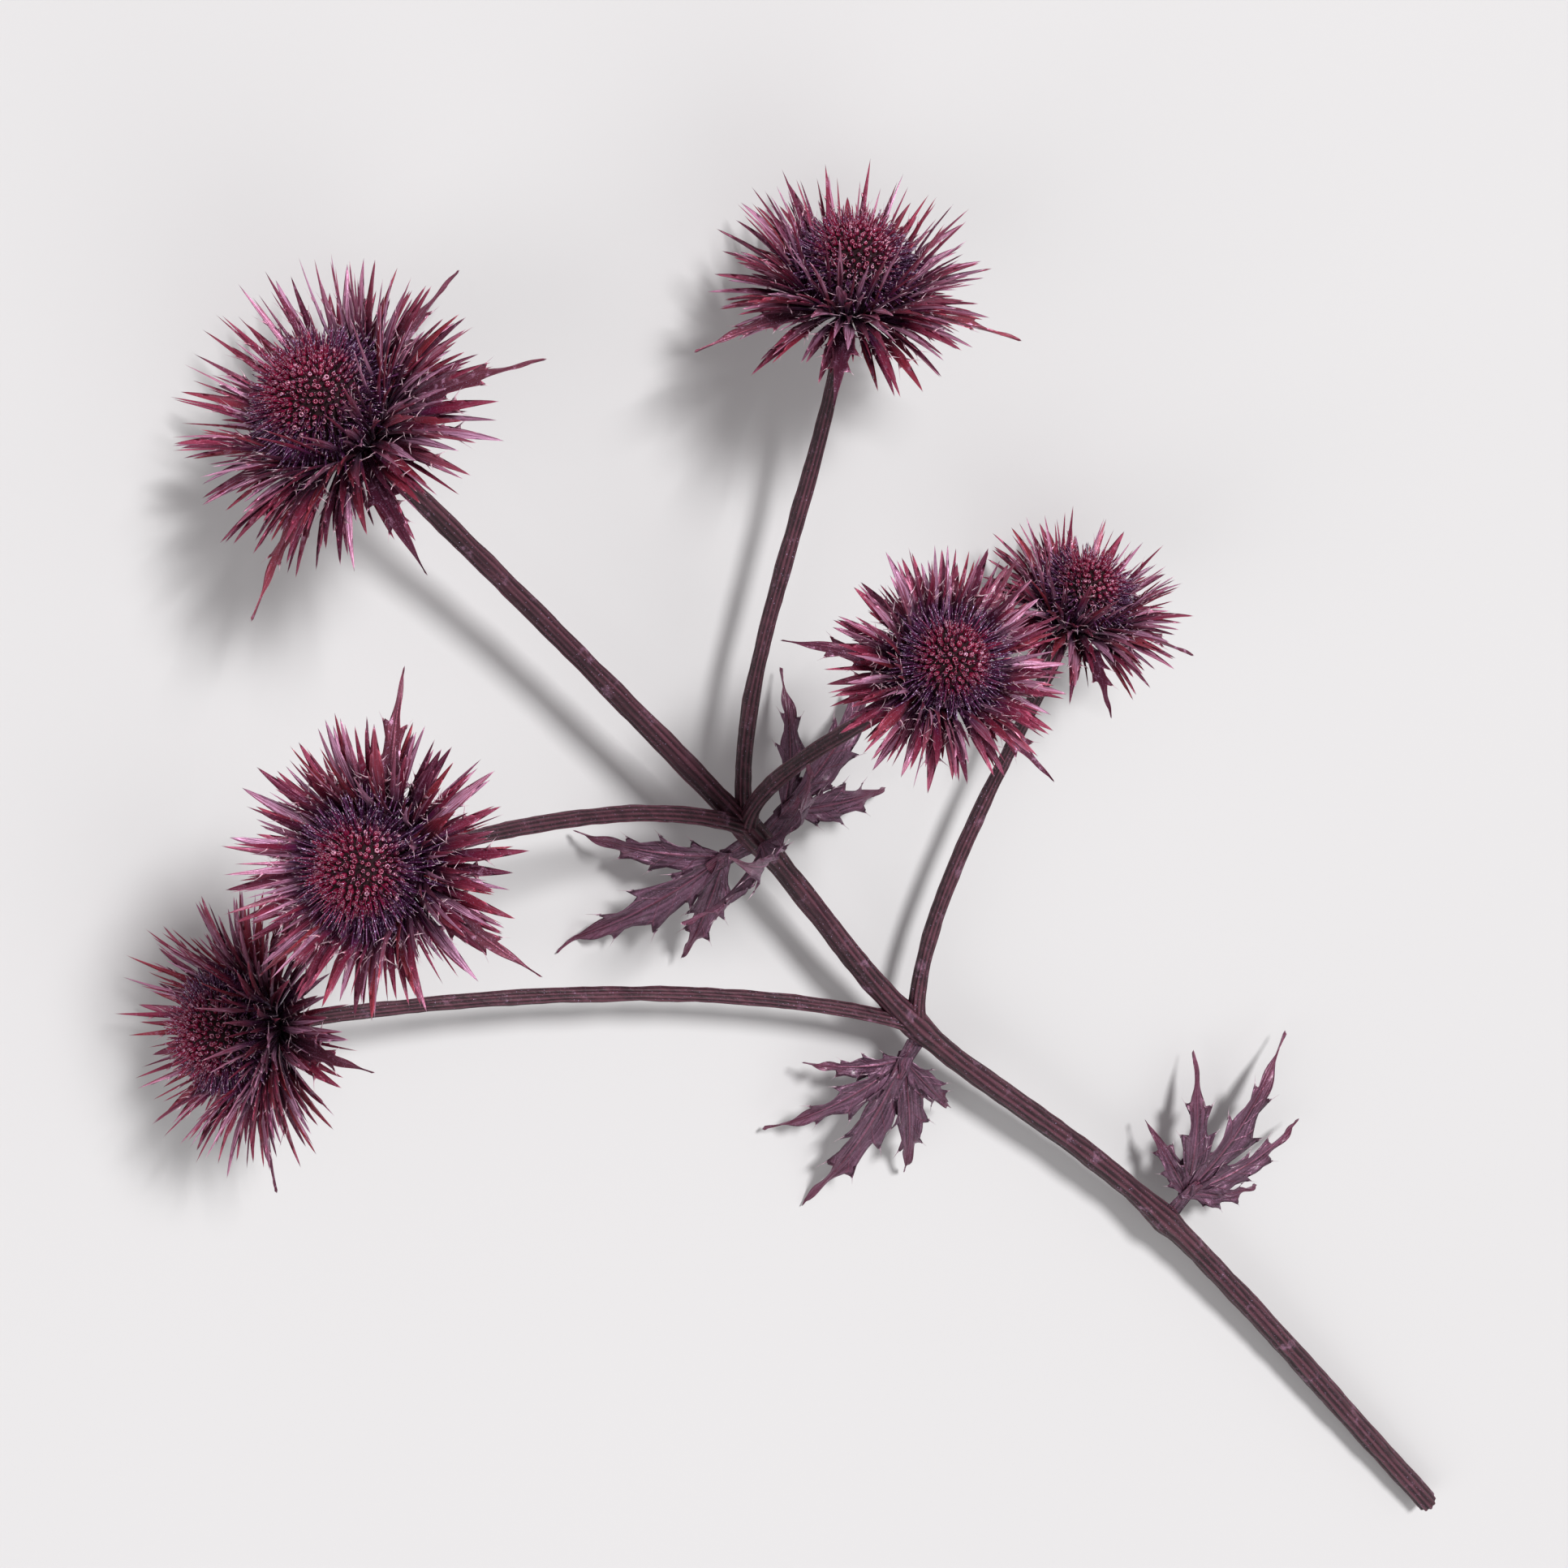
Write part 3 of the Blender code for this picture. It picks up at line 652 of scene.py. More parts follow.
def helper(name, mesh, collection=None):
    """An object that only serves a tree, from a bmesh or a mesh. It isn't shown."""
    data = mesh
    if isinstance(mesh, bmesh.types.BMesh):
        data = bpy.data.meshes.new(name)
        mesh.to_mesh(data)
        mesh.free()
    made = new_object(name, data, collection)
    made.hide_render = True
    return made


def new_shape(*values):
    """An empty mesh, and its layers for the values that its vertices carry."""
    mesh = bmesh.new()
    return mesh, {name: mesh.verts.layers.float.new(name) for name in values}


def smooth_helper(name, mesh, collection=None):
    """A helper object of the mesh, smooth and with its faces outwards."""
    bmesh.ops.recalc_face_normals(mesh, faces=mesh.faces)
    for face in mesh.faces:
        face.smooth = True
    return helper(name, mesh, collection)


def put(mesh, layers, place, **values):
    """A new vertex that carries its values."""
    vert = mesh.verts.new(place)
    for name, value in values.items():
        vert[layers[name]] = value
    return vert


def put_ring(mesh, layers, radius, up, sides, shift=0.0, **values):
    """A level ring of vertices round the Z axis, shifted along X."""
    ring = []
    for k in range(sides):
        turn = FULL_TURN * k / sides
        place = (radius * math.cos(turn) + shift, radius * math.sin(turn), up)
        ring.append(put(mesh, layers, place, **values))
    return ring


def skin_rings(mesh, rings, first_end, last_end):
    """Skins alike rings, and closes them on a vertex at each end."""
    count = len(rings[0])
    for low, high in zip(rings, rings[1:]):
        for i in range(count):
            j = (i + 1) % count
            mesh.faces.new((low[i], low[j], high[j], high[i]))
    for ring, end in ((rings[0], first_end), (rings[-1], last_end)):
        for i in range(count):
            mesh.faces.new((ring[i], ring[(i + 1) % count], end))


def add_thorn(mesh, layers, foot, tip, half_foot, half_thick, arch=0.0):
    """A thorn on a blade, arched sideways. Its places along are by share, and all else is in metres."""
    side = math.copysign(1, foot.y)
    rings = []
    for share, size in THORN_RINGS:
        place = foot.lerp(tip, share) + Vector((0, arch, 0)) * (4 * share * (1 - share))
        half = half_foot * size
        thick = half_thick * between((THORN_END_THICKNESS, 1), size)
        pale = between(THORN_PALE, min(1, share * THORN_PALING))
        ring = []
        for dx, dz in ((-half, 0), (0, -thick), (half, 0), (0, thick)):
            ring.append(put(mesh, layers, (place.x + dx, place.y, place.z + dz), across=side, pale=pale))
        rings.append(ring)
    end = put(mesh, layers, tip, across=side, pale=1)
    root = put(mesh, layers, foot - Vector((0, side * half_thick, 0)))
    skin_rings(mesh, rings, root, end)


def blade_shape(name, stations, half_width, thickness, teeth, channel, collection):
    """A keeled blade with a channel, a midrib and teeth, which are (share, side, out, forward, up)."""
    mesh, layers = new_shape("across", "pale")
    rings = []
    for share, width in stations:
        half = half_width * width
        thick = thickness * between((BLADE_END_THICKNESS, 1), width)
        dip = channel * half
        # Place across, height and how pale: over the upper side from edge to edge, then the keel.
        section = (
            (-1.0, dip, 0.30),
            (-0.45, 0.0, 0.0),
            (0.0, MIDRIB_SHARE * thick, 0.18),
            (0.45, 0.0, 0.0),
            (1.0, dip, 0.30),
            (0.0, -thick, 0.10),
        )
        ring = []
        for across, up, pale in section:
            ring.append(put(mesh, layers, (share, across * half, up), across=across, pale=pale))
        rings.append(ring)
    tip = put(mesh, layers, (1, 0, 0), pale=0.9)
    root = put(mesh, layers, (stations[0][0] - ROOT_LENGTH, 0, 0))
    skin_rings(mesh, rings, root, tip)
    half_thick = thickness * BRACT_THORN_THICKNESS
    for share, side, out, forward, up in teeth:
        half = half_width * width_at(stations, share)
        foot = Vector((share, side * half * BRACT_THORN_INSIDE, channel * half * BRACT_THORN_RISE))
        point = Vector((share + forward, side * (half + out), channel * half + up))
        add_thorn(mesh, layers, foot, point, BRACT_THORN_FOOT, half_thick, side * out * BRACT_THORN_ARCH)
    return smooth_helper(name, mesh, collection)


def width_at(stations, share):
    """The blade's width share at a share of its length."""
    for (low, low_width), (high, high_width) in zip(stations, stations[1:]):
        if low <= share <= high:
            return low_width + (high_width - low_width) * (share - low) / (high - low)
    return stations[-1][1]


def stations_of(lance):
    """Stations of a narrow blade: it swells from its foot to its widest share, then tapers to a spine."""
    stations = []
    for share in lance.shares:
        if share < lance.widest:
            rise = max(0.0, share / lance.widest)
            width = lance.foot + (1 - lance.foot) * (rise * rise * (3 - 2 * rise))
        else:
            width = (1 - (share - lance.widest) / (1 - lance.widest)) ** lance.fall
        stations.append((share, max(width, NARROWEST)))
    return stations


def tooth_rise(share, start):
    """How far a tooth that starts at that share has risen further along its lobe, from 0 to 1."""
    near = (share - start) / TOOTH_LENGTH
    if near < TOOTH_PEAK:
        return max(0.0, near / TOOTH_PEAK)
    return max(0.0, (1 - near) / (1 - TOOTH_PEAK))


def lobe_shape(name, lobe, variant, collection):
    """A leaf's lobe, with coarse spiny teeth swept forward, a wavy margin, a midrib and a channel."""
    mesh, layers = new_shape("across", "pale")
    half_width, thickness, waves, seed, teeth = lobe
    phase = random.Random(seed + variant).uniform(0, FULL_TURN)
    stations = stations_of(LOBE_LANCE)

    def wave_at(share, side):
        return half_width * waves * math.sin(phase + share * WAVE_TURNS + side * WAVE_SHIFT)

    rings = []
    for i in range(LOBE_STEPS):
        share = LOBE_START + (LOBE_END - LOBE_START) * i / (LOBE_STEPS - 1)
        base = width_at(stations, min(share, LOBE_WIDTH_UP_TO))
        thick = thickness * between((LOBE_END_THICKNESS, 1), base)
        reach, sweep = {}, {}
        for side in (-1, 1):
            rises = [tooth_rise(share, place + side * TOOTH_STAGGER) for place, _, _ in teeth]
            reach[side] = max(out * rise**1.4 for (_, out, _), rise in zip(teeth, rises))
            sweep[side] = max(forward * rise for (_, _, forward), rise in zip(teeth, rises))
        ring = []
        for level, places in ((1, LOBE_TOP), (-1, LOBE_UNDERSIDE)):
            for across in places:
                side = 1 if across > 0 else -1
                edge = abs(across)
                half = half_width * base + reach[side] * edge**3
                midrib = max(0.0, 1 - edge / MIDRIB_REACH)
                rib = thick * MIDRIB_HEIGHT * midrib if level > 0 else -thick * KEEL_DEPTH * (1 - edge) ** 3
                up = wave_at(share, side) * edge**2 + half_width * DISH * base * edge**1.6 + rib
                up += level * thick / 2 * (1 - EDGE_THINNING * edge**4)
                place = (share + sweep[side] * edge**3, across * half, up)
                pale = PALE_MARGIN * edge**8 + PALE_MIDRIB * midrib
                ring.append(put(mesh, layers, place, across=across, pale=pale))
        rings.append(ring)
    tip = put(mesh, layers, (1.0, 0, 0), pale=1)
    root = put(mesh, layers, (LOBE_START - ROOT_LENGTH, 0, 0))
    skin_rings(mesh, rings, root, tip)
    for place, out, forward in teeth:
        for side in (-1, 1):
            share = place + side * TOOTH_STAGGER + TOOTH_TO_THORN
            half = half_width * width_at(stations, share)
            up = wave_at(share, side) + half * DISH
            start, (along, aside, rise) = LOBE_THORN_START, LOBE_THORN_END
            foot = Vector((share + forward * start, side * (half + out * start), up))
            point = Vector((share + forward * along, side * (half + out * aside), up + out * rise))
            add_thorn(mesh, layers, foot, point, LOBE_THORN_FOOT, thickness * LOBE_THORN_THICKNESS)
    return smooth_helper(name, mesh, collection)


def bract_shapes():
    """By name: a needle, three shapes with one pair of teeth, three with two, and two leafy ones."""
    shapes = bpy.data.collections.new("Bract shapes")
    draw = random.Random(TOOTH_SEED)
    needle = (stations_of(NEEDLE_LANCE), NEEDLE_HALF_WIDTH, BRACT_THICKNESS, NEEDLE_TEETH, NEEDLE_CHANNEL)
    blade_shape("0 needle", *needle, shapes)
    stations = stations_of(BRACT_LANCE)
    for pairs, places in TOOTH_PLACES.items():
        for variant in range(VARIANTS):
            teeth = []
            for i, place in enumerate(places):
                for side in (-1, 1):
                    share = place + draw.uniform(-TOOTH_PLACE_SPREAD, TOOTH_PLACE_SPREAD)
                    out = draw.uniform(*TOOTH_OUT) * (1 - OUTER_TOOTH_LOSS * i)
                    teeth.append((share, side, out, draw.uniform(*TOOTH_FORWARD), draw.uniform(*TOOTH_UP)))
            toothed = (stations, BRACT_HALF_WIDTH, BRACT_THICKNESS, teeth, BRACT_CHANNEL)
            blade_shape(f"{pairs} pairs {variant}", *toothed, shapes)
    for variant in range(2):
        lobe_shape(f"3 leafy {variant}", LEAFY_BRACT, variant, shapes)
    return shapes


def leaf_shapes():
    """By name: three lobes, and the clasping foot, hollow on its upper side."""
    shapes = bpy.data.collections.new("Leaf shapes")
    for variant in range(VARIANTS):
        lobe_shape(f"lobe {variant}", LEAF_LOBE, variant, shapes)
    stations = [(share, 1 - SHEATH_NARROWING * share) for share in SHEATH_SHARES]
    blade_shape("sheath", stations, SHEATH_HALF_WIDTH, LOBE_THICKNESS, (), SHEATH_CHANNEL, shapes)
    return shapes


# Places of blades

Blade = namedtuple("Blade", "seat first last side length width shape tone leafy")


def bend_of(blade):
    """The angle that the blade turns through, and the direction that it turns towards."""
    across = blade.last - blade.first * blade.first.dot(blade.last)
    return blade.first.angle(blade.last), across.normalized()


def to_floor(blade):
    """The blade, or one cut shorter so that its tip just meets the surface."""
    turn, toward = bend_of(blade)
    rise = (blade.first * math.sin(turn) + toward * (1 - math.cos(turn))).z / turn
    if blade.seat.z + rise * blade.length >= 0:
        return blade
    return blade._replace(length=-blade.seat.z / rise)


def cup_radius(head):
    return head.reach * CUP_SHARE


def radial_blade(head, turn, share, angles, length, twist, **looks):
    """A blade that leaves the cup at a turn round its axis, in the layer at that share."""
    out = direction(turn)
    below = between(SEAT_BELOW_RIM, share)
    depth = cup_radius(head) * CUP_DEPTH_SHARE
    seat = out * cup_radius(head) * math.cos(below) - UP * depth * math.sin(below)
    first, last = (out * math.sin(angle) + UP * math.cos(angle) for angle in angles)
    side = Matrix.Rotation(twist, 3, first) @ UP.cross(out)
    place = frame_at(head.centre, head.axis)
    turned = place.to_3x3()
    return to_floor(Blade(place @ seat, turned @ first, turned @ last, turned @ side, length, **looks))


def narrow_bract(head, kind, number, count):
    """One of a head's bracts of that kind, number 0 being the nearest to the dome."""
    draw = random.Random(head.seed * kind.seeds + number)

    def drawn(spread):
        return math.radians(draw.uniform(-spread, spread))

    share = ((number + 0.5) / count) ** kind.crowding
    turn = number * GOLDEN_ANGLE + drawn(kind.turn)
    lean = drawn(kind.lean)
    length = (head.reach - cup_radius(head)) * draw.uniform(*kind.length)
    length *= between((INNER_LENGTH_SHARE, 1), min(1, share / FULL_LENGTH_FROM))
    first = between(FIRST_ANGLE, share) + lean * min(1, share / FULL_SPREAD_FROM)
    last = between(LAST_ANGLE, share) + lean + math.radians(kind.opening)
    twist = drawn(kind.twist)
    if kind is FRAMED:
        shape = draw.randrange(VARIANTS) + (FIRST_ONE_PAIR if share < ONE_PAIR_UP_TO else FIRST_TWO_PAIRS)
    elif share >= NEEDLES_UP_TO:
        shape = draw.choice(FILLER_SHAPES)
    if share < NEEDLES_UP_TO:
        shape = NEEDLE
    looks = {"width": draw.uniform(*kind.width), "shape": shape, "tone": draw.random(), "leafy": 0.0}
    return radial_blade(head, turn, share, (first, last), length, twist, **looks)


def leafy_bract(head, angle):
    """A leafy bract at that angle round the head's axis."""
    tone = (angle % LEAFY_TONES) / LEAFY_TONES
    looks = {"width": 1.0, "shape": FIRST_LEAFY + angle % 2, "tone": tone, "leafy": 1.0}
    length = head.reach * LEAFY_LENGTH_SHARE
    return radial_blade(head, math.radians(angle), 1.0, LEAFY_ANGLES, length, 0, **looks)


def blade_points(blades):
    """A helper object with a point for each blade, which carries the blade's values."""
    mesh = bpy.data.meshes.new("blade points")
    mesh.vertices.add(len(blades))
    columns = {name: [getattr(blade, name) for blade in blades] for name in Blade._fields}
    columns["bend"], columns["toward"] = zip(*(bend_of(blade) for blade in blades))
    for label in ("seat", "first", "toward", "side"):
        numbers = [number for value in columns[label] for number in value]
        mesh.attributes.new(label, "FLOAT_VECTOR", "POINT").data.foreach_set("vector", numbers)
    for label in ("bend", "length", "width", "tone", "leafy"):
        mesh.attributes.new(label, "FLOAT", "POINT").data.foreach_set("value", columns[label])
    mesh.attributes.new("shape", "INT", "POINT").data.foreach_set("value", columns["shape"])
    return helper(mesh.name, mesh)


def bent_blades(blades, tree, shapes, material, name, **core):
    """A piece of bent blades, on their core if one is given, without the values that only placed them."""
    values = {"Shapes": shapes, "Material": material, **core}
    values.update({"Lying lift": LYING_LIFT, "Floor clearance": FLOOR_CLEARANCE})
    piece = grown(blade_points(blades), tree, values, name)
    for label in ("seat", "first", "toward", "side", "bend", "length", "width", "shape"):
        kept = piece.data.attributes.get(label)
        if kept:
            piece.data.attributes.remove(kept)
    return piece


def cup_mesh(head):
    """The receptacle under the florets, as a turned cup in its place."""
    mesh = bmesh.new()
    radius = cup_radius(head)
    lowest = math.acos(SEAT_RADIUS / radius)
    rings = []
    for i in range(CUP_RINGS + 1):
        angle = lowest * i / CUP_RINGS
        down = radius * CUP_DEPTH_SHARE * math.sin(angle)
        rings.append(put_ring(mesh, (), radius * math.cos(angle), -down, CUP_SIDES))
    top = mesh.verts.new((0, 0, 0))
    bottom = mesh.verts.new((0, 0, -down))
    skin_rings(mesh, rings, top, bottom)
    bmesh.ops.recalc_face_normals(mesh, faces=mesh.faces)
    mesh.transform(frame_at(head.centre, head.axis))
    return mesh


def make_collar(head, tree, shapes, material):
    """All bracts of a head on their cup."""
    blades = []
    for kind, count in ((FRAMED, head.bracts), (FILLER, round(head.bracts * FILLERS_A_BRACT))):
        blades += [narrow_bract(head, kind, number, count) for number in range(count)]
    blades += [leafy_bract(head, angle) for angle in head.leafy]
    cup = helper("cup", cup_mesh(head))
    piece = bent_blades(blades, tree, shapes, material, head.name + "_collar", Core=cup)
    bpy.data.objects.remove(cup, do_unlink=True)
    return piece


# Florets and their spines

def floret_shape():
    """A small cup with pointed lobes round a hollow, one unit in radius."""
    mesh, layers = new_shape("pale")
    rings = []
    for radius, up, pale in FLORET_RINGS:
        rings.append(put_ring(mesh, layers, radius, up, FLORET_LOBES, pale=pale))
    foot = put(mesh, layers, (0, 0, FLORET_FOOT))
    heart = put(mesh, layers, (0, 0, FLORET_HEART))
    skin_rings(mesh, rings, foot, heart)
    outer, inner = rings[-2:]
    out, up = FLORET_POINT
    for k in range(FLORET_LOBES):
        turn = FULL_TURN * (k + 0.5) / FLORET_LOBES
        point = put(mesh, layers, (out * math.cos(turn), out * math.sin(turn), up), pale=1)
        after = (k + 1) % FLORET_LOBES
        corners = (outer[k], outer[after], inner[after], inner[k])
        mesh.faces.remove(mesh.faces.get(corners))
        for one, other in zip(corners, corners[1:] + corners[:1]):
            mesh.faces.new((one, other, point))
    return smooth_helper("floret shape", mesh)


def spine_shape():
    """A thin three-sided spine, one unit long, slightly bent."""
    mesh, layers = new_shape("pale")
    rings = []
    for up, swell in SPINE_RINGS:
        bow = SPINE_BOW * up * up
        rings.append(put_ring(mesh, layers, SPINE_RADIUS * swell, up, 3, bow, pale=SPINE_PALE * up**4))
    tip = put(mesh, layers, (SPINE_BOW, 0, 1), pale=1)
    foot = put(mesh, layers, (0, 0, SPINE_FOOT))
    skin_rings(mesh, rings, foot, tip)
    return smooth_helper("spine shape", mesh)


def dome_size(head):
    """The radius and the height of the dome's skin."""
    radius = cup_radius(head) - DOME_INSET
    return radius, radius * DOME_HEIGHT_SHARE * CORE_HEIGHT_SHARE


def dome_core(head):
    """The egg-shaped body under the florets, closed below. It carries no paleness, so its finish paints it
    with the shade between the florets.
    """
    radius, height = dome_size(head)
    mesh = bmesh.new()
    bmesh.ops.create_uvsphere(mesh, u_segments=CUP_SIDES, v_segments=CORE_RINGS, radius=1)
    for vert in mesh.verts:
        x, y, z = vert.co * CORE_SHRINK
        up = z * height if z > 0 else z * radius * CORE_BELOW
        vert.co = (x * radius, y * radius, up + GAP)
    for face in mesh.faces:
        face.smooth = True
    return helper("dome core", mesh)


def covered(head, tree, cover, spacing, shape, core, material, name):
    """A piece of shapes in a spiral on the head's dome, over a core that may be empty."""
    radius, height = dome_size(head)
    area = math.pi * radius * (radius + height)
    values = {
        **cover,
        "Shape": shape,
        "Count": round(area / spacing**2),
        "Radius": radius,
        "Height": height,
        "Base": GAP,
        "Lowest angle": DOME_LOWEST,
        "Place spread": PLACE_SPREAD,
        "Seed": head.seed * 10,
        "Material": material,
    }
    piece = grown(core, tree, values, name)
    piece.data.transform(frame_at(head.centre, head.axis))
    return piece


# The stem

def hermite(start, start_pull, end, end_pull, share):
    """A point of the smooth curve that leaves start along its pull and reaches end along the other."""
    s = share
    return (
        start * (2 * s**3 - 3 * s**2 + 1)
        + start_pull * (s**3 - 2 * s**2 + s)
        + end * (3 * s**2 - 2 * s**3)
        + end_pull * (s**3 - s**2)
    )


def stem_seat(head):
    """Where the stem ends, a gap below the head's cup."""
    depth = cup_radius(head) * CUP_DEPTH_SHARE + GAP
    return Vector(head.centre) - Vector(head.axis).normalized() * depth


def stretch(start, start_pull, end, end_pull, radii, swollen):
    """Points and radii of a smooth stretch of stem, swollen at the given ends."""
    length = (end - start).length
    count = round(length / STEM_STEP)
    points, thick = [], []
    for i in range(count + 1):
        share = i / count
        swell = 0.0
        for at_end in swollen:
            near = abs(share - at_end) * length / SWELLING_REACH
            swell = max(swell, math.exp(-SWELLING_FALL * near * near))
        points.append(hermite(start, start_pull, end, end_pull, share))
        thick.append(between(radii, share) * (1 + SWELLING * swell))
    return points, thick


def add_spline(curve, points, radii):
    """A line of the curve through the points, with its radius at each."""
    spline = curve.splines.new("POLY")
    spline.points.add(len(points) - 1)
    for target, point, radius in zip(spline.points, points, radii):
        target.co = (*point, 1)
        target.radius = radius


def make_stem(tree, material, pith):
    """The main stem and its branches, each with a ribbed skin, and the cut end's pith."""
    heads = {head.name: head for head in HEADS}
    curve = bpy.data.curves.new("stem lines", "CURVE")
    curve.dimensions = "3D"
    top = heads["head_top"]
    nodes = (CUT_END, LOW_NODE, MIDDLE_NODE, FORK, (stem_seat(top), TOP_RADIUS))
    places = [Vector(place) for place, _ in nodes]
    radii = [radius for _, radius in nodes]
    pulls = [(b - a) / 2 for a, b in zip([places[0]] + places, places[1:] + [places[-1]])]
    pulls[0] = places[1] - places[0]
    pulls[-1] = Vector(top.axis).normalized() * (places[-1] - places[-2]).length
    points, thick = [places[0]], [radii[0]]
    last = len(places) - 1
    for i in range(last):
        swollen = [end for end in (0, 1) if 0 < i + end < last]
        more, widths = stretch(places[i], pulls[i], places[i + 1], pulls[i + 1], radii[i : i + 2], swollen)
        points += more[1:]
        thick += widths[1:]
    add_spline(curve, points, thick)
    for name, (place, _) in BRANCHES:
        axis = Vector(heads[name].axis).normalized()
        start, end = Vector(place), stem_seat(heads[name])
        length = (end - start).length
        out = (end - start).normalized() + Vector((0, BRANCH_FORWARD, 0))
        start_pull = out.normalized() * length * BRANCH_START_PULL
        end_pull = axis * length * BRANCH_END_PULL
        add_spline(curve, *stretch(start, start_pull, end, end_pull, BRANCH_RADIUS, [0]))
    lines = new_object("stem lines", curve)
    stem = grown(lines, tree, {**STEM_SKIN, "Material": material}, "stem_skin")
    show_pith(stem, pith)
    return stem


def show_pith(stem, material):
    """Gives the cut end its own finish, behind a thin rim of skin."""
    stem.data.materials.append(material)
    mesh = bmesh.new()
    mesh.from_mesh(stem.data)
    reach = min(vert.co.y for vert in mesh.verts) + CUT_FACE_REACH
    ends = [face for face in mesh.faces if len(face.verts) > 4 and face.calc_center_median().y < reach]
    rim = bmesh.ops.inset_region(mesh, faces=ends, thickness=RIM_WIDTH, depth=0)["faces"]
    for face in ends:
        face.material_index = 1
    for face in ends + rim:
        face.smooth = False
    mesh.to_mesh(stem.data)
    mesh.free()


# Leaves

def make_leaf(leaf, tree, shapes, material):
    """A sessile leaf: its lobes and its clasping foot."""
    out = direction(math.radians(leaf.heading), math.radians(leaf.tilt))
    side = UP.cross(out).normalized()
    turned = Matrix((out, side, out.cross(side))).transposed()
    place, radius = leaf.node
    foot = radius * (1 + SWELLING) + LEAF_FOOT
    origin = Vector(place) - Vector((0, leaf.below, 0)) + out * foot
    seat = origin + turned @ Vector((LEAF_HEART, 0, 0))
    blades = []
    for number, (angle, length, half_width) in enumerate(leaf.lobes):
        turn = math.radians(angle)
        first = turned @ direction(turn, LEAF_FIRST_RISE)
        last = turned @ direction(turn, -LEAF_DROOP)
        across = turned @ direction(turn + math.pi / 2)
        width = half_width / LOBE_HALF_WIDTH
        tone = number * TONE_STEP % 1
        blades.append(Blade(seat, first, last, across, length, width, number % VARIANTS, tone, 1.0))
    start = origin - out * LEAF_FOOT * 2
    rising = turned @ Vector((1, 0, SHEATH_RISE)).normalized()
    blades.append(Blade(start, out, rising, side, LEAF_HEART + SHEATH_PAST_HEART, 1.0, SHEATH, 0.5, 1.0))
    return bent_blades(blades, tree, shapes, material, leaf.name + "_lobes")


# Finishes

def attributes(tree, *names):
    """The values that a piece's points carry, in a material."""
    return [node(tree, "ShaderNodeAttribute", out="Fac", attribute_name=name) for name in names]


def object_place(tree):
    return node(tree, "ShaderNodeTexCoord", out="Object")


def pearl_dust_group():
    """Pearly paint in fine broken patches, small irregular glints that are painted highlights, and the grain
    it lies in.
    """
    inputs = {"Float": ("Patch scale", "Cover", "Glint scale", "Glint cover")}
    outputs = {"Float": ("Patches", "Glints", "Grain")}
    tree, given, result = new_tree("ShaderNodeTree", "Pearl dust", inputs, outputs)
    place = object_place(tree)

    def shown(noise, cover, levels):
        bare, cleared, softness = levels
        low = bare - cover * cleared
        return noise.step(low, low + softness)

    patches = shown(place.noise(given["Patch scale"], 8.0, 0.74), given["Cover"], PATCH_LEVELS)
    glints = shown(place.noise(given["Glint scale"], 2.0, 0.6), given["Glint cover"], GLINT_LEVELS)
    feed(tree, result, {"Patches": patches, "Glints": glints, "Grain": place.noise(GRAIN_SCALE, 3.0)})
    return tree


def fibres_group():
    """Fine lines that run the length of a blade, from its own share along and place across."""
    inputs = {"Float": ("Along", "Across", "Tone", "Lines")}
    tree, given, result = new_tree("ShaderNodeTree", "Fibres", inputs, {"Float": ("Fibres",)})
    across, along = given["Across"] * given["Lines"], given["Along"] * FIBRES_ALONG
    place = vector(tree, across, along, given["Tone"] * FIBRES_APART)
    feed(tree, result, {"Fibres": place.noise(1.0, 3.0)})
    return tree


def group(tree, made, values):
    """The outputs of a node group placed in a material."""
    placed = tree.nodes.new("ShaderNodeGroup")
    placed.node_tree = made
    feed(tree, placed.inputs, values)
    return [Value(tree, socket) for socket in placed.outputs]


def new_material(name):
    """A material and its tree."""
    material = bpy.data.materials.new(name)
    material.use_nodes = True
    return material, material.node_tree


def painted(material, base, layers, looks):
    """The material with its looks, and its base colour under layers of (how much, colour)."""
    tree = material.node_tree
    colour = base
    for factor, other in layers:
        mixed = {"Factor": factor, "A": colour, "B": other}
        colour = node(tree, "ShaderNodeMix", mixed, 2, data_type="RGBA")
    feed(tree, tree.nodes["Principled BSDF"].inputs, {"Base Color": colour, **looks})
    return material


def bumped(height, strength, distance):
    """The normal of a surface with that height over it."""
    inputs = {"Height": height, "Strength": strength, "Distance": distance}
    return node(height.tree, "ShaderNodeBump", inputs)


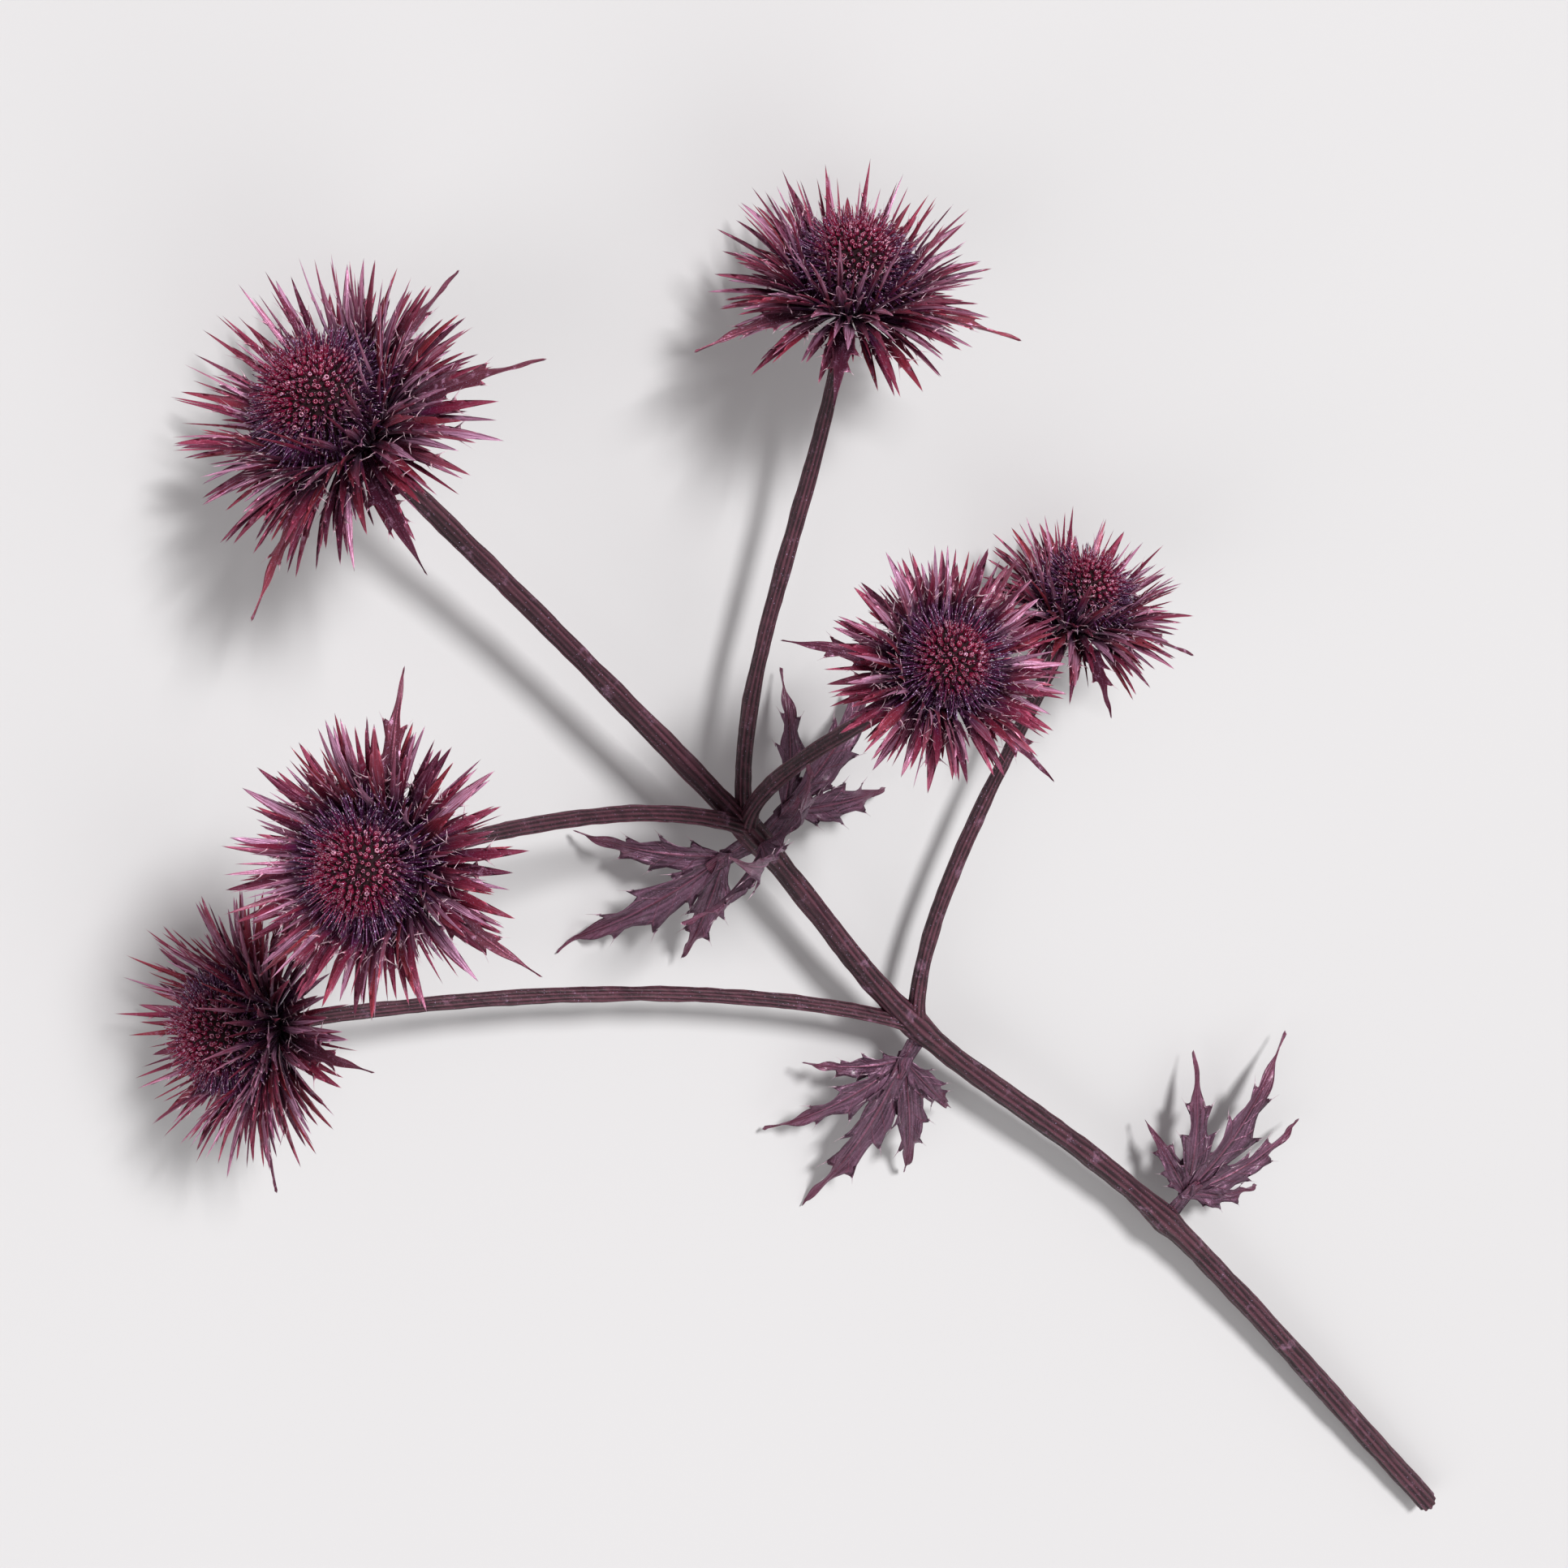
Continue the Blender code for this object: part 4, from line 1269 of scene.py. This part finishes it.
def bract_finish(pearl, fibres):
    """Dyed bract: indigo foot, rose blade, pale margins and spines, pearly paint over all, a painted sheen
    on some, and painted glints.
    """
    material, tree = new_material("pearly bract")
    share, tone, leafy, pale, across = attributes(tree, "share", "tone", "leafy", "pale", "across")
    patches, glints, grain = group(tree, pearl, BRACT_DUST)
    [lines] = group(tree, fibres, {"Along": share, "Across": across, "Tone": tone, "Lines": 5.0})
    edge = across.math("ABSOLUTE")
    wander = lines * 0.22 + (share - 0.11)
    own = (tone * 7.3).math("FRACT")
    # Painted sheen: some bracts, chosen by their tone, are painted pearl along their fibres as if lit.
    painted_sheen = own.step(0.50, 0.95) * lines.step(0.36, 0.62, 0.12, 0.95) * share.step(0.20, 0.50)
    # Painted glints, most towards the foot.
    glints = glints * share.step(0.10, 0.75, 1.0, 0.25)
    layers = (
        (wander.step(0.05, 0.32), VIOLET),
        (wander.step(0.28, 0.62), ROSE),
        (wander.step(0.66, 1.0), DUSTY_ROSE),
        (leafy * 0.75, BROWN_ROSE),
        (tone.step(0.0, 0.50, 0.80, 0.0), PLUM),
        (tone.step(0.70, 1.0, 0.0, 0.75), SALMON),
        (lines.step(0.54, 0.74, 0.0, 0.18), PEARL),
        (painted_sheen, PEARL),
        (patches * (leafy * 0.42 + 0.40), PEARL),
        (edge.step(0.80, 1.0, 0.0, 0.45), DUSTY_ROSE),
        (pale.step(0.32, 1.0, 0.0, 0.90), SPINE_TIP),
        (glints, PAINTED_GLINT_LILAC),
    )
    looks = {
        "Metallic": (glints * 0.3).math("ADD", patches * 0.20 + 0.48, use_clamp=True),
        "Roughness": grain * 0.12 + (patches * -0.12 + 0.38),
        "Coat Weight": patches * 0.55 + 0.10,
        "Coat Roughness": 0.24,
        "Normal": bumped(lines + grain * 0.7 + edge.step(0.0, 0.14, 0.5, 0.0), 0.6, 0.00024),
        **PEARLY,
    }
    return painted(material, INDIGO, layers, looks)


def leaf_finish(pearl, fibres):
    """Dry leaf: dark plum with veins to its teeth, a thin pearly film along its fibres, and painted glints.
    """
    material, tree = new_material("dry leaf")
    share, tone, pale, across = attributes(tree, "share", "tone", "pale", "across")
    patches, glints, grain = group(tree, pearl, LEAF_DUST)
    [lines] = group(tree, fibres, {"Along": share, "Across": across, "Tone": tone, "Lines": 7.0})
    edge = across.math("ABSOLUTE")
    beat = ((edge * -0.13 + share) * 10.0).math("FRACT")
    vein = (beat - 0.5).math("ABSOLUTE").step(0.0, 0.10, 1.0, 0.0)
    veins = (vein * 0.6).math("MAXIMUM", edge.step(0.02, 0.12, 1.0, 0.0))
    layers = (
        (lines.step(0.35, 0.65), LEAF_BROWN),
        (share.step(0.45, 1.0, 0.0, 0.40), ROSE),
        (veins * 0.26, DUSTY_ROSE),
        (lines.step(0.30, 0.70, 0.015, 0.15), PEARL),
        (patches * 0.07, PEARL),
        (pale.step(0.30, 1.0, 0.0, 0.75), SPINE_TIP),
        (glints * 0.40, PAINTED_GLINT_LILAC),
    )
    looks = {
        "Metallic": patches * 0.12 + 0.48,
        "Roughness": grain * 0.12 + (patches * -0.06 + 0.40),
        "Coat Weight": patches * 0.16 + 0.28,
        "Coat Roughness": 0.26,
        "Normal": bumped(veins * 1.2 + grain * 0.6 + lines, 0.7, 0.00034),
        **PEARLY,
    }
    return painted(material, LEAF_DARK, layers, looks)


def floret_finish(pearl):
    """Crimson florets with pink points, violet towards the dome's foot, painted shade in their hollows, and
    painted glints.
    """
    material, tree = new_material("crimson floret")
    pale, level, tone = attributes(tree, "pale", "level", "tone")
    _, glints, grain = group(tree, pearl, FLORET_DUST)
    # Painted glints, none in the painted shade of the hollows.
    glints = glints * pale.step(0.0, 0.10)
    light = pale * tone.step(0.84, 1.0, 1.0, 2.4)
    layers = (
        (tone.step(0.0, 1.0, 0.0, 0.45), PLUM),
        (level.step(0.35, 0.90, 0.0, 0.85), INDIGO),
        # Painted shade: nearly black where paleness is low, in the florets' hollows and on the core between
        # them.
        (pale.step(0.0, 0.12, 1.0, 0.0), PAINTED_SHADE_CRIMSON),
        (light.step(0.50, 0.98, 0.0, 0.80), PALE_PINK),
        (glints, PAINTED_GLINT_LILAC),
    )
    looks = {
        "Metallic": glints * 0.4 + 0.35,
        "Roughness": grain * 0.20 + pale.step(0.0, 0.10, 0.78, 0.40),
        "Coat Weight": pale.step(0.02, 0.10, 0.0, 0.12),
        "Coat Roughness": 0.22,
        "Normal": bumped(grain, 0.35, 0.00012),
    }
    return painted(material, CRIMSON, layers, looks)


def spine_finish(pearl):
    """Thin spines, crimson at the top of the dome and violet below, with pale points and painted glints."""
    material, tree = new_material("pale spine")
    pale, level, tone = attributes(tree, "pale", "level", "tone")
    patches, glints, grain = group(tree, pearl, SPINE_DUST)
    layers = (
        (level.step(0.12, 0.60), VIOLET),
        (tone.step(0.0, 0.6, 0.7, 0.0), INDIGO),
        (pale.step(0.42, 0.92, 0.0, 0.85), SPINE_TIP),
        (glints, PAINTED_GLINT_LILAC),
    )
    looks = {
        "Metallic": patches * 0.3 + 0.35,
        "Roughness": grain * 0.2 + 0.30,
        "Coat Weight": 0.15,
        "Coat Roughness": 0.20,
    }
    return painted(material, CRIMSON, layers, looks)


def stem_finish(pearl, fibres):
    """Dark purple-brown skin, paler on its ribs, with broken pearly paint and painted glints."""
    material, tree = new_material("ribbed stem")
    ridge, run = attributes(tree, "ridge", "run")
    patches, glints, grain = group(tree, pearl, STEM_DUST)
    [lines] = group(tree, fibres, {"Along": run * 14.0, "Across": ridge, "Tone": 0.3, "Lines": 3.0})
    place = node(tree, "ShaderNodeMapping", {"Vector": object_place(tree), "Scale": (1.0, 0.12, 1.0)})
    streaks = place.noise(620.0, 4.0)
    rise = streaks * 0.8 + (ridge * 0.5 - 0.2)
    layers = (
        (rise.step(0.15, 0.75), STEM_PALE),
        (lines.step(0.5, 0.75, 0.0, 0.4), PLUM),
        (patches * 0.26, PEARL),
        (glints, PAINTED_GLINT_LILAC),
    )
    looks = {
        "Metallic": patches * 0.30 + 0.15,
        "Roughness": grain * 0.12 + (patches * -0.16 + 0.48),
        "Normal": bumped(streaks + grain * 0.4, 0.8, 0.00040),
    }
    return painted(material, STEM_DARK, layers, looks)


def pith_finish():
    """The cut face: pale spongy pith, darker towards the skin."""
    material, tree = new_material("cut pith")
    place = object_place(tree)
    cells = node(tree, "ShaderNodeTexVoronoi", {"Vector": place, "Scale": 4200.0}, "Distance")
    holes = cells.step(0.05, 0.5)
    layers = ((holes, PITH), (place.noise(600.0, 3.0).step(0.4, 0.7, 0.0, 0.6), PITH_RIM))
    return painted(material, PITH_RIM, layers, {"Roughness": 0.85, "Normal": bumped(holes, 0.8, 0.0002)})


# The object's pieces

def keep(piece, node_name):
    """A finished piece rides on the frame, and stands for its node if one is named."""
    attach(piece, BODY)
    if node_name:
        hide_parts(node_name)


def make_plant():
    """The stem, its leaves and its heads."""
    pearl = pearl_dust_group()
    fibres = fibres_group()
    bracts = bract_finish(pearl, fibres)
    leaves = leaf_finish(pearl, fibres)
    crimson = floret_finish(pearl)
    pale = spine_finish(pearl)
    blades = bent_blades_tree()
    spiral = dome_spiral_tree()
    keep(make_stem(ribbed_stem_tree(), stem_finish(pearl, fibres), pith_finish()), "stem")
    lobes = leaf_shapes()
    for leaf in LEAVES:
        keep(make_leaf(leaf, blades, lobes, leaves), leaf.name)
    shapes = bract_shapes()
    floret = floret_shape()
    spine = spine_shape()
    for head in HEADS:
        keep(make_collar(head, blades, shapes, bracts), head.name + "_bracts")
        looks = (FLORETS, FLORET_SPACING, floret, dome_core(head), crimson)
        keep(covered(head, spiral, *looks, head.name + "_florets"), head.name + "_dome")
        looks = (SPINES, SPINE_SPACING, spine, helper("no core", bmesh.new()), pale)
        keep(covered(head, spiral, *looks, head.name + "_spines"), None)
    for shape in (floret, spine, *lobes.objects, *shapes.objects):
        bpy.data.objects.remove(shape, do_unlink=True)


# The studio

def make_studio():
    """A pale floor and soft lamps."""
    bpy.ops.mesh.primitive_plane_add(size=FLOOR_SIZE, location=(0, 0, FLOOR_LEVEL))
    floor = bpy.context.object
    floor.name = "studio_floor"
    material, tree = new_material("floor")
    shade = object_place(tree).noise(3.0)
    floor.data.materials.append(painted(material, FLOOR, ((shade, FLOOR_SHADE),), {"Roughness": 0.9}))
    world = bpy.data.worlds.new("studio")
    world.use_nodes = True
    tree = world.node_tree
    feed(tree, tree.nodes["Background"].inputs, {"Color": SKY, "Strength": SKY_STRENGTH})
    bpy.context.scene.world = world
    for name, place, strength, width in LAMPS:
        lamp = bpy.data.lights.new(name, "SUN")
        lamp.energy = strength
        lamp.angle = math.radians(width)
        holder = new_object(name, lamp)
        holder.location = place
        holder.rotation_euler = Vector(place).to_track_quat("Z", "Y").to_euler()


def make_camera():
    """A camera that looks down from the heads' side."""
    back = direction(math.pi / 2, CAMERA_ELEVATION)
    data = bpy.data.cameras.new("camera")
    data.lens = CAMERA_LENS
    data.clip_start = CAMERA_CLIP_START
    camera = new_object("camera", data)
    turned = (-back).to_track_quat("-Z", "Y").to_matrix() @ Matrix.Rotation(CAMERA_ROLL, 3, "Z")
    place = Matrix.Translation(Vector(CAMERA_TARGET) + back * CAMERA_DISTANCE)
    camera.matrix_world = place @ turned.to_4x4()
    bpy.context.scene.camera = camera
    bpy.context.scene.view_settings.view_transform = "Standard"


make_camera()
make_plant()
make_studio()
